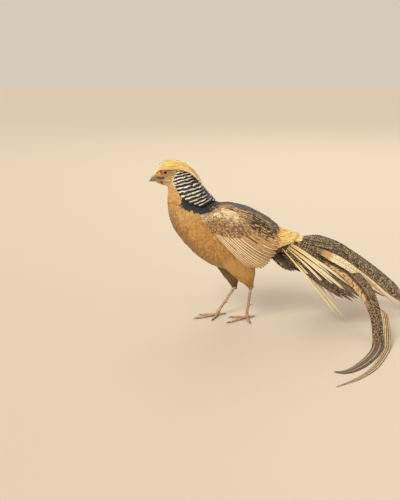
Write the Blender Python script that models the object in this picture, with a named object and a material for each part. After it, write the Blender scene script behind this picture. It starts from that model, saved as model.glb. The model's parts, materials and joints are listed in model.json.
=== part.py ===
"""A golden pheasant cock, life size and still, walking with its long tail trailing on the floor.

The bird is drawn facing -X, with its left side towards -Y and the floor at z = 0. At the end
everything moves so that the middle of its footprint is at the origin.
"""
import math

import bmesh
import bpy
import numpy as np
from mathutils import Matrix

# Driving dimensions, in metres.
GAP = 0.0003
MERGE = 1e-6
QUARTER_TURN = Matrix.Rotation(math.pi / 2, 3, "X")
AROUND_BODY = 22
HEAD_RINGS = 12
NECK_RINGS = 11
TORSO_RINGS = 13
AROUND_LEG = 10

SHARP_ANGLE = 45
ROOT_DEPTH = 0.0020

# The body as one surface from the base of the bill to the root of the tail. Each row is a cross
# section: its lowest point (x, z), its highest point (x, z) and half its width.
BODY = (
    (-0.1692, 0.3139, -0.1724, 0.3295, 0.0064),
    (-0.1644, 0.3108, -0.1666, 0.3405, 0.0097),
    (-0.1569, 0.3079, -0.1574, 0.3482, 0.0121),
    (-0.1487, 0.3060, -0.1434, 0.3529, 0.0136),
    (-0.1440, 0.3026, -0.1261, 0.3525, 0.0146),
    (-0.1427, 0.2975, -0.1100, 0.3449, 0.0153),
    (-0.1430, 0.2908, -0.0959, 0.3329, 0.0163),
    (-0.1440, 0.2797, -0.0830, 0.3163, 0.0198),
    (-0.1438, 0.2618, -0.0678, 0.2964, 0.0257),
    (-0.1413, 0.2403, -0.0503, 0.2763, 0.0321),
    (-0.1350, 0.2188, -0.0272, 0.2662, 0.0390),
    (-0.1230, 0.1970, -0.0053, 0.2607, 0.0445),
    (-0.0865, 0.1543, 0.0343, 0.2494, 0.0504),
    (-0.0373, 0.1228, 0.0721, 0.2302, 0.0509),
    (0.0233, 0.1134, 0.1014, 0.2093, 0.0435),
    (0.0624, 0.1273, 0.1183, 0.2014, 0.0336),
    (0.0940, 0.1497, 0.1327, 0.1960, 0.0227),
)
FLANK_ROUNDNESS = 0.9
HEAD_END = 4.6
NECK_START = 4.66
NECK_END = 10.0
TORSO_START = 10.016
TORSO_END = 16.0

EYE_PLACE = (-0.1480, 0.0088, 0.3366)
EYE_RADIUS = 0.0050
LID_RADIUS = 0.0039
LID_THICKNESS = 0.0010
LID_OUT = 0.0126

BILL_ROOT = (-0.1714, 0.3205)
BILL_TIP = (-0.1830, 0.3128)
BILL_SLOPE = -0.209
BILL_FLAT = 0.00025
MOUTH_GAP = 0.0009
# Each half of the bill: how far it reaches, its height at root and tip, its half width and its side.
BILL_HALVES = (
    ("bill_upper", 1.0, 0.0086, 0.0010, 0.0052, 1),
    ("bill_lower", 0.86, 0.0044, 0.0006, 0.0045, -1),
)
NOSTRIL_PLACE = (-0.1752, 0.0045, 0.3236)
NOSTRIL_RADIUS = 0.0010

# Height of the crest over the crown, row by row along the body, and how far round it reaches.
CREST_ROWS = (0.5, 2.0, 3.2, 4.5, 6.0, 7.8)
CREST_HEIGHTS = (0.0012, 0.0060, 0.0095, 0.0118, 0.0128, 0.0110)
CREST_REACH = (40.0, 54.0, 56.0, 52.0, 42.0, 30.0)

# Tiers of locks: rows of the roots and the tips, number, and the share of the crest's height.
CREST_CORE_END = 4.4
CREST_TIERS = ((0.62, 3.6, 5, 0.97), (1.6, 5.6, 4, 1.0), (2.6, 6.9, 5, 1.0), (3.3, 8.1, 4, 0.97))
LOCK_STEPS = 4
LOCK_CLEARANCE = 0.0036
LOCK_HALF_WIDTH = 0.0048

# Height of the striped ruff over the neck.
RUFF_ROWS = (4.66, 6.0, 8.0, 9.0, 9.6, 10.0)
RUFF_HEIGHTS = (0.0010, 0.0045, 0.0062, 0.0066, 0.0015, 0.0)
RUFF_REACH = 108.0
RUFF_CORE = 0.45
RUFF_CLEARANCE = 0.0016
RUFF_TIERS = ((4.75, 6.4), (5.75, 7.5), (6.75, 8.5), (7.75, 9.4))
RUFF_ACROSS = 9
RUFF_RISE = (-0.0010, 0.0000, 0.0003, 0.0004)
RUFF_SHARES = (0.20, 0.62, 0.85, 1.00)
RUFF_HALF_WIDTHS = (0.0052, 0.0063, 0.0074, 0.0085)
RUFF_OUTLINE = (0.75, 1.00, 1.00, 0.62)

# Tiers of wing feathers, lowest first: number, rows of the roots of the first and last, rows of the
# tips of the first, middle and last, turns of the roots, turns of the tips, heights from root to
# tip, half width, tilt and bluntness of the tip. The core is the thin shell that they stand on.
WING_CORE = 0.0024
WING_TIERS = (
    (6, (12.2, 12.4), (14.55, 15.2, 14.7), (90, 60), (120, 64),
     (0.0000, 0.0024, 0.0024, 0.0022), 0.0080, 0.22, 0.30),
    (3, (12.2, 12.1), (14.1, 14.2, 13.9), (62, 34), (56, 27),
     (0.0008, 0.0050, 0.0052, 0.0048), 0.0105, 0.13, 0.35),
    (5, (11.5, 11.4), (12.75, 13.3, 13.1), (84, 32), (86, 26),
     (0.0006, 0.0050, 0.0080, 0.0086), 0.0098, 0.13, 0.45),
    (5, (10.8, 10.8), (12.0, 12.2, 12.0), (80, 36), (82, 30),
     (0.0004, 0.0060, 0.0092, 0.0106), 0.0098, 0.13, 0.50),
)

HIP = {"left": (0.012, -0.027, 0.136), "right": (-0.014, 0.027, 0.134)}
HOCK = {"left": (0.0400, -0.0240, 0.0805), "right": (0.0060, 0.0235, 0.0640)}
FOOT = {"left": (0.0327, -0.0100, 0.0110), "right": (-0.0305, 0.0100, 0.0115)}
TOES = {
    "left": {"inner": (-0.0095, -0.0064), "middle": (-0.0153, -0.0440), "outer": (0.0395, -0.0470),
             "hind": (0.0530, 0.0000)},
    "right": {"inner": (-0.0470, -0.0290), "middle": (-0.0885, -0.0170), "outer": (-0.0780, 0.0060),
              "hind": (-0.0120, 0.0170)},
}
CLAW_LENGTH = {"inner": 0.009, "middle": 0.010, "outer": 0.009, "hind": 0.007}
SHANK_RADIUS = 0.0031
SHANK_SCUTES = 11
SCUTE_HEIGHT = 0.0005
TOE_RADIUS = 0.0027
TOE_SCUTE = 0.0072
PALM_LENGTH = 0.0035
TOE_AROUND = 8
THIGH_AROUND = 16
THIGH_SHARES = (0.0, 0.30, 0.55, 0.75, 0.90, 1.0)
THIGH_RADII = (0.0290, 0.0240, 0.0185, 0.0125, 0.0078, 0.0052)
THIGH_SQUASH = 0.72
SPUR_SHARE = 0.68
SPUR_PATH = ((0.0, 0.0, 0.0), (0.0045, 0.0010, 0.0006), (0.0100, 0.0010, 0.0022))
SPUR_RADII = (0.0017, 0.0013, 0.0003)
PALM_RADII = (0.0039, 0.0046, 0.0044, 0.0034)
PALM_SHOULDER = 0.0030
TOE_HEIGHTS = (0.0040, 0.0022)
CLAW_RADIUS = 0.0017
CLAW_AROUND = 7
FLOOR = 0.0

# The stump that all tail feathers grow from, in the same terms as the body.
TAIL_CORE = (
    (0.0952, 0.1501, 0.1331, 0.1957, 0.0224),
    (0.1090, 0.1560, 0.1400, 0.1945, 0.0195),
    (0.1240, 0.1620, 0.1480, 0.1925, 0.0150),
)

# The two long central tail feathers, through the points that the rib of each passes, and the places
# along those points where each is divided into lengths.
LONG_UPPER = (
    (0.1340, 0.0050, 0.1860), (0.1600, 0.0060, 0.1840), (0.1900, 0.0080, 0.1790),
    (0.2316, 0.0120, 0.1630), (0.2693, 0.0160, 0.1390), (0.3079, 0.0200, 0.1110),
    (0.3472, 0.0250, 0.0790), (0.3875, 0.0300, 0.0440), (0.4257, 0.0351, 0.0160),
    (0.4550, 0.0390, 0.0050), (0.4950, 0.0450, 0.0028), (0.5600, 0.0560, 0.0028),
    (0.6300, 0.0720, 0.0024), (0.7000, 0.0920, 0.0012),
)
UPPER_JOINTS = (0, 4.5, 8.5, 13)
LONG_LOWER = (
    (0.1270, 0.0000, 0.1785), (0.1560, -0.0030, 0.1710), (0.1784, -0.0060, 0.1600),
    (0.1950, -0.0120, 0.1505), (0.2122, -0.0270, 0.1425), (0.2424, -0.0490, 0.1310),
    (0.2625, -0.0720, 0.1160), (0.2795, -0.0970, 0.0975), (0.2905, -0.1200, 0.0760),
    (0.2970, -0.1390, 0.0500), (0.2985, -0.1530, 0.0260), (0.2965, -0.1710, 0.0085),
    (0.2875, -0.1950, 0.0030), (0.2690, -0.2300, 0.0028), (0.2440, -0.2650, 0.0028),
    (0.2200, -0.2890, 0.0026), (0.2015, -0.2975, 0.0024), (0.1850, -0.2960, 0.0026),
)
LOWER_JOINTS = (0, 5.5, 10.5, 13.5, 17)
LONG_HALF_WIDTH = 0.019
# Half width along each long feather, as pairs of the share of its length and of its full half width.
UPPER_OUTLINE = ((0.00, 0.22), (0.04, 0.22), (0.16, 1.00), (0.55, 1.00), (0.80, 0.74), (0.93, 0.44),
                 (1.00, 0.04))
LOWER_OUTLINE = ((0.00, 0.22), (0.03, 0.22), (0.12, 1.00), (0.40, 1.00), (0.52, 0.66), (0.80, 0.60),
                 (0.93, 0.36), (1.00, 0.04))
# The outer feather lies against the outer edge of the lower one from one place along it to another,
# and then leaves it over the floor through these points.
OUTER_ALONG = (8.8, 12.0)
OUTER_FREE = ((0.2750, -0.2640, 0.0024), (0.2480, -0.3020, 0.0022), (0.2190, -0.3310, 0.0018),
              (0.1790, -0.3600, 0.0012))
OUTER_HALF_WIDTH = 0.0065
OUTER_OUTLINE = ((0.00, 0.40), (0.25, 1.00), (0.70, 1.00), (0.90, 0.55), (1.00, 0.08))
OUTER_CLEARANCE = 0.0012
OUTER_JOINTS = (0, 4, 8)
LONG_CROWN = 0.12
LONG_FACING = (0.0, -0.62, 0.78)
LONG_STEPS = 1.6
POINT_SPACING = 0.030
FEATHER_THICKNESS = 0.0009

# Feathers on each side of the tail and short ones under it: their first root, the step from one root
# to the next, and the length, droop and splay of the first and the last. Narrow spikes run from the
# rump past them. The longest spike follows its own path on each side, under the long feathers.
SIDE_FEATHERS = 6
SIDE_ROOT = (0.1280, 0.0040, 0.1650)
SIDE_ROOT_STEP = (-0.0020, 0.0022, -0.0024)
SIDE_LENGTHS = (0.235, 0.145)
SIDE_DROOPS = (25, 33)
SIDE_SPLAYS = (8, 27)
SIDE_HALF_WIDTH = 0.0125
SIDE_TILT = 0.42
UNDER_FEATHERS = 3
UNDER_ROOT = (0.1160, 0.0060, 0.1530)
UNDER_ROOT_STEP = (-0.0030, 0.0040, 0.0010)
UNDER_LENGTHS = (0.085, 0.060)
UNDER_DROOPS = (36, 42)
UNDER_SPLAYS = (6, 26)
SPIKE_ROOTS = ((0.1170, 0.0180, 0.1720), (0.1200, 0.0160, 0.1750), (0.1240, 0.0140, 0.1775))
SPIKE_TIPS = ((0.2325, 0.0580, 0.0180), (0.2537, 0.0400, 0.0060), (0.2700, 0.0600, 0.0650))
SPIKE_HALF_WIDTH = 0.0030
LONG_SPIKE = (
    (0.1280, 0.0090, 0.1660), (0.1560, 0.0125, 0.1535), (0.1900, 0.0145, 0.1375),
    (0.2424, 0.0160, 0.1150), (0.3060, 0.0180, 0.0780), (0.3700, 0.0200, 0.0300),
)


def clear_scene():
    for thing in list(bpy.data.objects):
        bpy.data.objects.remove(thing, do_unlink=True)


def finish(name, colour, roughness):
    """A plain material in the sub-part's own colour."""
    made = bpy.data.materials.new(name)
    made.use_nodes = True
    shader = made.node_tree.nodes["Principled BSDF"]
    shader.inputs["Base Color"].default_value = (*colour, 1.0)
    shader.inputs["Roughness"].default_value = roughness
    shader.inputs["Metallic"].default_value = 0.0
    made.diffuse_color = (*colour, 1.0)
    return made


def between(table, place):
    """Read a table of rows at any place between them, along a smooth curve through them."""
    rows = np.array(table, float)
    if rows.ndim == 1:
        rows = rows[:, None]
    place = np.clip(np.asarray(place, float), 0, len(rows) - 1)
    row = np.minimum(place.astype(int), len(rows) - 2)
    part = (place - row)[..., None]
    before, low, high, after = (rows[np.clip(row + step, 0, len(rows) - 1)] for step in (-1, 0, 1, 2))
    bend = 2 * before - 5 * low + 4 * high - after
    twist = 3 * low - before - 3 * high + after
    return 0.5 * (2 * low + (high - before) * part + bend * part ** 2 + twist * part ** 3)


def on_body(row, turn):
    """The point of the body at a row and a turn in degrees: 0 back, 90 left flank, 180 breast."""
    section = between(BODY, row)
    low, high, half = section[..., 0:2], section[..., 2:4], section[..., 4]
    up = np.cos(np.radians(turn))
    out = np.sin(np.radians(turn))
    middle = (low + high) / 2 + (high - low) / 2 * up[..., None]
    side = -half * np.sign(out) * np.abs(out) ** FLANK_ROUNDNESS
    return np.stack([middle[..., 0], side, middle[..., 1]], -1)


def over_body(row, turn, height):
    """A point that stands off the body's surface by a height, with the way out of the surface."""
    row, turn, height = np.broadcast_arrays(np.asarray(row, float), np.asarray(turn, float), height)
    step = 1e-3
    along = on_body(row + step, turn) - on_body(row - step, turn)
    round_it = on_body(row, turn + step) - on_body(row, turn - step)
    out = np.cross(along, round_it)
    out /= np.linalg.norm(out, axis=-1, keepdims=True)
    section = between(BODY, row)
    middle = (section[..., 0:2] + section[..., 2:4]) / 2
    spot = on_body(row, turn)
    inward = spot - np.stack([middle[..., 0], np.zeros_like(row), middle[..., 1]], -1)
    out = out * np.sign((inward * out).sum(-1))[..., None]
    return spot + out * height[..., None], out


def solid(name, bm, look):
    """Turn a bmesh into an object whose faces all point out, smooth but for its edges."""
    bmesh.ops.recalc_face_normals(bm, faces=bm.faces[:])
    if bm.calc_volume(signed=True) < 0:
        bmesh.ops.reverse_faces(bm, faces=bm.faces[:])
    mesh = bpy.data.meshes.new(name)
    bm.to_mesh(mesh)
    bm.free()
    mesh.materials.append(look)
    mesh.shade_smooth()
    mesh.set_sharp_from_angle(angle=math.radians(SHARP_ANGLE))
    made = bpy.data.objects.new(name, mesh)
    bpy.context.scene.collection.objects.link(made)
    return made


def sheet(rows, columns):
    """A flat grid of faces whose points are numbered row by row."""
    bm = bmesh.new()
    bmesh.ops.create_grid(bm, x_segments=columns - 1, y_segments=rows - 1, size=1.0)
    bm.verts.ensure_lookup_table()
    return bm


def loft(name, rings, look):
    """A closed body through rings of points, with both ends filled."""
    rings = np.concatenate([rings, rings[:, :1]], axis=1)
    bm = sheet(*rings.shape[:2])
    for corner, spot in zip(bm.verts, rings.reshape(-1, 3)):
        corner.co = spot
    bmesh.ops.remove_doubles(bm, verts=bm.verts[:], dist=MERGE)
    rim = [edge for edge in bm.edges if edge.is_boundary]
    ends = bmesh.ops.holes_fill(bm, edges=rim, sides=0)["faces"]
    bmesh.ops.poke(bm, faces=ends)
    return solid(name, bm, look)


def slab(name, top, bottom, look):
    """A closed body between two grids of points that match, split alike on both faces."""
    rows, columns = top.shape[:2]
    bm = sheet(rows, columns)
    bmesh.ops.triangulate(bm, faces=bm.faces[:])
    uppers = set(bm.verts)
    number = {(round(corner.co.x, 4), round(corner.co.y, 4)): corner.index for corner in bm.verts}
    bmesh.ops.extrude_face_region(bm, geom=bm.faces[:], use_keep_orig=True)
    top, bottom = top.reshape(-1, 3), bottom.reshape(-1, 3)
    for corner in bm.verts:
        index = number[(round(corner.co.x, 4), round(corner.co.y, 4))]
        corner.co = top[index] if corner in uppers else bottom[index]
    return solid(name, bm, look)


def smooth_path(points, count):
    """Evenly numbered points along a smooth curve through a few of them."""
    return between(points, np.linspace(0, len(points) - 1, count))


def unit(vectors):
    return vectors / np.linalg.norm(vectors, axis=-1, keepdims=True)


def tube(name, path, radii, look, around=AROUND_LEG, first=None, last=None, floor=None, squash=1.0):
    """A round limb along a path, with the ends square to the ways given."""
    path = np.array(path, float)
    ways = unit(np.gradient(path, axis=0))
    if first is not None:
        ways[0] = unit(np.array(first, float))
    if last is not None:
        ways[-1] = unit(np.array(last, float))
    sides = unit(np.cross(ways, (1.0, 0.001, 0.3)))
    fronts = np.cross(sides, ways)
    angles = np.linspace(0, 2 * math.pi, around, endpoint=False)
    radii = np.array(radii, float)
    if radii.ndim == 1:
        radii = np.repeat(radii[:, None], around, axis=1)
    rings = (path[:, None] + radii[..., None] * squash * np.cos(angles)[None, :, None] * sides[:, None]
             + radii[..., None] * np.sin(angles)[None, :, None] * fronts[:, None])
    if floor is not None:
        rings[..., 2] = np.maximum(rings[..., 2], floor)
    return loft(name, rings, look)


def vane(name, spine, side, half_widths, look, crown=0.0, thickness=FEATHER_THICKNESS, columns=3):
    """One feather: a thin blade along its rib, arched across by its crown and resting on the floor."""
    spine = np.array(spine, float)
    side = unit(np.array(side, float))
    way = unit(np.gradient(spine, axis=0))
    up = unit(np.cross(way, side))
    across = np.linspace(-1, 1, columns)
    half_widths = np.array(half_widths, float)
    top = (spine[:, None] + side[:, None] * (across[None, :] * half_widths[:, None])[..., None]
           - up[:, None] * (crown * half_widths[:, None] * across[None, :] ** 2)[..., None])
    bottom = top - up[:, None] * thickness
    top[..., 2] = np.maximum(top[..., 2], FLOOR + thickness)
    bottom[..., 2] = np.maximum(bottom[..., 2], FLOOR)
    return slab(name, top, bottom, look)


def blade(count, root=0.5, fullest=0.55, tip=0.04):
    """Half widths along a feather as shares of its widest: narrow at the root, pointed at the tip."""
    along = np.linspace(0, 1, count)
    opening = root + (1 - root) * np.sin(np.minimum(along / fullest, 1) * math.pi / 2)
    closing = np.sqrt(np.clip(1 - (np.maximum(along - fullest, 0) / (1 - fullest)) ** 2, 0, 1))
    return np.maximum(opening * closing, tip)


def body_feather(name, rows, turns, heights, half_widths, look, tilt=0.0, crown=0.1, columns=3, side="left"):
    """A feather that lies along the body from a root to a tip, each at a row and a turn.

    Its lower edge stands out by the tilt, so that it covers the upper edge of the feather below it.
    """
    count = len(heights)
    sign = 1.0 if side == "left" else -1.0
    turned = np.linspace(turns[0], turns[1], count) * sign
    spine, out = over_body(np.linspace(rows[0], rows[1], count), turned, np.array(heights, float))
    way = unit(np.gradient(spine, axis=0))
    across = unit(np.cross(out, way))
    across = across * math.cos(tilt) + out * math.sin(tilt) * sign
    return vane(name, spine, across, half_widths, look, crown, FEATHER_THICKNESS, columns)


def keep_largest(target):
    """Leave only the largest closed surface of an object's mesh."""
    bm = bmesh.new()
    bm.from_mesh(target.data)
    left = set(bm.faces)
    groups = []
    while left:
        front = [left.pop()]
        group = list(front)
        while front:
            face = front.pop()
            for edge in face.edges:
                for other in edge.link_faces:
                    if other in left:
                        left.remove(other)
                        front.append(other)
                        group.append(other)
        groups.append(group)
    groups.sort(key=lambda group: sum(face.calc_area() for face in group))
    loose = [face for group in groups[:-1] for face in group]
    bmesh.ops.delete(bm, geom=loose, context="FACES")
    bm.to_mesh(target.data)
    bm.free()


def apply_boolean(target, pieces, operation):
    """Join pieces to a body, or cut them from it, in one exact Boolean, and remove them."""
    group = bpy.data.collections.new(target.name + "_pieces")
    for piece in pieces:
        group.objects.link(piece)
    joining = target.modifiers.new(operation.lower(), "BOOLEAN")
    joining.operation = operation
    joining.operand_type = "COLLECTION"
    joining.collection = group
    joining.solver = "EXACT"
    bpy.context.view_layer.update()
    result = bpy.data.meshes.new_from_object(target.evaluated_get(bpy.context.evaluated_depsgraph_get()))
    target.modifiers.clear()
    target.data = result
    for piece in pieces:
        bpy.data.objects.remove(piece, do_unlink=True)
    bpy.data.collections.remove(group)
    keep_largest(target)
    return target


def fuse(target, pieces):
    return apply_boolean(target, pieces, "UNION")


def cut(target, pieces):
    return apply_boolean(target, pieces, "DIFFERENCE")


def ball(name, place, radius, look, stretch=(1, 1, 1), segments=12, rings=8):
    bm = bmesh.new()
    bmesh.ops.create_uvsphere(bm, u_segments=segments, v_segments=rings, radius=radius)
    bmesh.ops.scale(bm, verts=bm.verts, vec=stretch)
    bmesh.ops.translate(bm, verts=bm.verts, vec=place)
    return solid(name, bm, look)


def body_rings(first, last, count, height=0.0, around=AROUND_BODY):
    """Rings of the body between two rows, each point stood off by a height or a function of place."""
    rows, turns = np.meshgrid(np.linspace(first, last, count), np.linspace(0, 360, around, endpoint=False),
                              indexing="ij")
    heights = height(rows, turns) if callable(height) else np.full(rows.shape, height)
    flat_end = between(BODY, rows)
    spots, out = over_body(rows, turns, heights)
    high = np.stack([flat_end[..., 2], np.zeros(rows.shape), flat_end[..., 3]], -1)
    low = np.stack([flat_end[..., 0], np.zeros(rows.shape), flat_end[..., 1]], -1)
    plane = unit(np.cross(high - low, (0.0, 1.0, 0.0)))
    for end in (0, -1):
        off = ((spots[end] - low[end]) * plane[end]).sum(-1, keepdims=True)
        spots[end] -= off * plane[end]
    return spots


def side_sign(side):
    return -1.0 if side == "left" else 1.0


def ruff_height(rows, turns):
    """How far the striped ruff stands over the neck."""
    turns = np.where(turns > 180, 360 - turns, turns)
    swell = np.interp(rows, RUFF_ROWS, RUFF_HEIGHTS)
    return swell * np.clip((RUFF_REACH - turns) / 30, 0, 1)


def make_head():
    look = finish("face_feathers", (0.78, 0.62, 0.38), 0.75)
    head = loft("head", body_rings(0.0, HEAD_END, HEAD_RINGS), look)
    parts = [make_crest_core(look), *make_crest_locks(look)]
    for side in ("left", "right"):
        x, y, z = EYE_PLACE
        y *= side_sign(side)
        lid_y = side_sign(side) * LID_OUT
        bm = bmesh.new()
        circle = bmesh.ops.create_circle(bm, segments=8, radius=LID_THICKNESS)["verts"]
        bmesh.ops.translate(bm, verts=circle, vec=(LID_RADIUS, 0, 0))
        bmesh.ops.rotate(bm, verts=circle, matrix=QUARTER_TURN)
        bmesh.ops.spin(bm, geom=bm.edges[:], axis=(0, 0, 1), cent=(0, 0, 0), steps=16,
                       angle=2 * math.pi, use_merge=True)
        bmesh.ops.rotate(bm, verts=bm.verts, matrix=QUARTER_TURN)
        bmesh.ops.translate(bm, verts=bm.verts, vec=(x, lid_y, z))
        parts.append(solid("lid_" + side, bm, look))
    fuse(head, parts)
    cutters = []
    for side in ("left", "right"):
        x, y, z = EYE_PLACE
        cutters.append(ball("socket_" + side, (x, y * side_sign(side), z), EYE_RADIUS + GAP, look))
    cutters.append(neck_form("neck_grown", 1.0, RUFF_CLEARANCE, NECK_START - 0.03, look))
    cut(head, cutters)
    for side in ("left", "right"):
        x, y, z = EYE_PLACE
        ball("eye_" + side, (x, y * side_sign(side), z), EYE_RADIUS, EYE_LOOK)
    return head


def crest_height(rows):
    return np.interp(rows, CREST_ROWS, CREST_HEIGHTS)


def crest_reach(rows):
    return np.interp(rows, CREST_ROWS, CREST_REACH)


def make_crest_core(look):
    """The low core of the crest, which stays under its locks."""
    rows, across = np.meshgrid(np.linspace(CREST_ROWS[0], CREST_CORE_END, 9), np.linspace(-1, 1, 9),
                               indexing="ij")
    tall = 0.5 * crest_height(rows) * np.cos(across * math.pi / 2) ** 0.6
    fade = np.clip((CREST_CORE_END - rows) / 0.8, 0, 1)
    top, _ = over_body(rows, across * crest_reach(rows), 0.0003 + tall * fade)
    bottom, _ = over_body(rows, across * crest_reach(rows), np.full(rows.shape, -ROOT_DEPTH))
    return slab("crest_core", top, bottom, look)


def make_crest_locks(look):
    """Flat tapered locks in tiers, swept back from the forehead and crown over the nape."""
    locks = []
    for first, last, number, rise in CREST_TIERS:
        for across in np.linspace(-1, 1, number):
            rows = (first + 0.25 * abs(across), last - 0.9 * abs(across))
            reach = crest_reach(np.array(rows)) * 0.86
            turns = across * reach
            steps = np.linspace(*rows, LOCK_STEPS)
            tall = crest_height(steps) * (1 - 0.35 * across ** 2) * rise
            share = np.linspace(0, 1, LOCK_STEPS)
            heights = 0.0012 + (tall - 0.0012) * np.sin(share * math.pi / 2) ** 0.8
            heights[0] = -0.0008
            clear = ruff_height(steps, abs(across) * reach[1]) + LOCK_CLEARANCE
            heights = np.where(steps > HEAD_END - 0.5, np.maximum(heights, clear), heights)
            half_widths = LOCK_HALF_WIDTH * blade(LOCK_STEPS, 0.55, 0.5, 0.10)
            tilt = 0.10 * np.sign(across)
            locks.append(body_feather("lock", rows, turns, heights, half_widths, look, tilt, 0.0, 2))
    return locks


def make_bill():
    look = finish("bill_horn", (0.50, 0.44, 0.33), 0.35)
    along = np.linspace(0, 1, 7)
    angles = np.linspace(0, 2 * math.pi, 14, endpoint=False)
    up = np.sin(angles)
    for name, reach, height_root, height_tip, width_root, sign in BILL_HALVES:
        share = along * reach
        gape = BILL_ROOT[1] - 0.0008 - 0.0012 * share - 0.0052 * share ** 3
        if sign < 0:
            gape -= MOUTH_GAP
        tall = height_root * (1 - along ** 1.6) + height_tip * along
        wide = width_root * (1 - 0.9 * along ** 1.4)
        over = np.where(up * sign > 0, np.abs(up), -BILL_FLAT * np.abs(up) / height_root)
        z = gape[:, None] + sign * tall[:, None] * over[None, :]
        centre = BILL_ROOT[0] - 2 * GAP + (BILL_TIP[0] - BILL_ROOT[0]) * share
        ring_x = centre[:, None] + ((1 - along) * BILL_SLOPE)[:, None] * (z - BILL_ROOT[1])
        ring_y = wide[:, None] * np.cos(angles)[None, :]
        made = loft(name, np.stack([ring_x, ring_y, z], -1), look)
        if sign > 0:
            x, y, z = NOSTRIL_PLACE
            cut(made, [ball("nostril", (x, y * way, z), NOSTRIL_RADIUS, look, (1.6, 0.9, 0.8))
                       for way in (-1, 1)])


def neck_form(name, share, grown, first, look):
    """The neck with a share of the ruff's height over it, and grown by a little more."""
    return loft(name, body_rings(first, NECK_END, NECK_RINGS,
                                 lambda rows, turns: share * ruff_height(rows, turns) + grown), look)


def make_neck():
    look = finish("neck_ruff", (0.80, 0.74, 0.60), 0.7)
    neck = neck_form("neck", RUFF_CORE, 0.0, NECK_START, look)
    vanes = []
    for tier, (first, last) in enumerate(RUFF_TIERS):
        shift = 0.5 * (tier % 2)
        number = RUFF_ACROSS - tier % 2
        for order in range(number):
            across = -1 + 2 * (order + shift) / (RUFF_ACROSS - 1)
            turn = across * (RUFF_REACH - 6 - 3.0 * tier)
            rows = (first, last - 0.25 * abs(across))
            steps = np.linspace(*rows, 4)
            heights = ruff_height(steps, np.full(4, abs(turn) * 0.8)) * np.array(RUFF_SHARES)
            heights += np.array(RUFF_RISE)
            half_widths = RUFF_HALF_WIDTHS[tier] * np.array(RUFF_OUTLINE)
            side = "left" if turn >= 0 else "right"
            vanes.append(body_feather("ruff_vane", rows, (abs(turn), abs(turn)), heights, half_widths, look,
                                      0.12 if turn else 0.0, 0.0, 2, side))
    fuse(neck, vanes)
    cut(neck, [torso_grown(look)])
    return neck


def make_torso():
    look = finish("breast_feathers", (0.72, 0.50, 0.26), 0.75)
    return loft("torso", body_rings(TORSO_START, TORSO_END, TORSO_RINGS), look)


def torso_grown(look):
    """The torso's own surface stood off by the gap, to cut its neighbours clear of it."""
    return loft("torso_grown", body_rings(TORSO_START, TORSO_END, TORSO_RINGS, 1.3 * GAP), look)


def make_wings():
    """Folded wings: a thin shell with flight feathers, tertials and coverts over it in tiers."""
    look = finish("wing_feathers", (0.42, 0.29, 0.17), 0.75)
    for side in ("left", "right"):
        sign = 1.0 if side == "left" else -1.0
        along, down = np.meshgrid(np.linspace(0, 1, 9), np.linspace(0, 1, 7), indexing="ij")
        front_row = 10.5 + 0.95 * down ** 2
        rear_row = 12.7 + 0.7 * down
        rows = front_row + (rear_row - front_row) * along
        front_turn = 40 + 44 * down
        rear_turn = 24 + 76 * down
        turns = (front_turn + (rear_turn - front_turn) * along) * sign
        swell = np.sin(math.pi * (0.12 + 0.8 * along)) * np.sin(math.pi * (0.1 + 0.8 * down)) ** 0.5
        top, _ = over_body(rows, turns, 0.0010 + WING_CORE * swell)
        bottom, _ = over_body(rows, turns, np.full(rows.shape, -ROOT_DEPTH))
        wing = slab("wing_" + side, top, bottom, look)
        vanes = []
        for number, root_rows, tip_rows, root_turns, tip_turns, heights, half_width, tilt, tip in WING_TIERS:
            for order in range(number):
                share = order / (number - 1)
                row = (np.interp(share, (0, 1), root_rows), np.interp(share, (0, 0.5, 1), tip_rows))
                turn = (np.interp(share, (0, 1), root_turns), np.interp(share, (0, 1), tip_turns))
                wide = half_width * blade(4, 0.75, 0.6, tip)
                vanes.append(body_feather("wing_vane", row, turn, heights, wide, look, tilt, 0.06, 3, side))
        fuse(wing, vanes)
        cut(wing, [torso_grown(look)])


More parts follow.
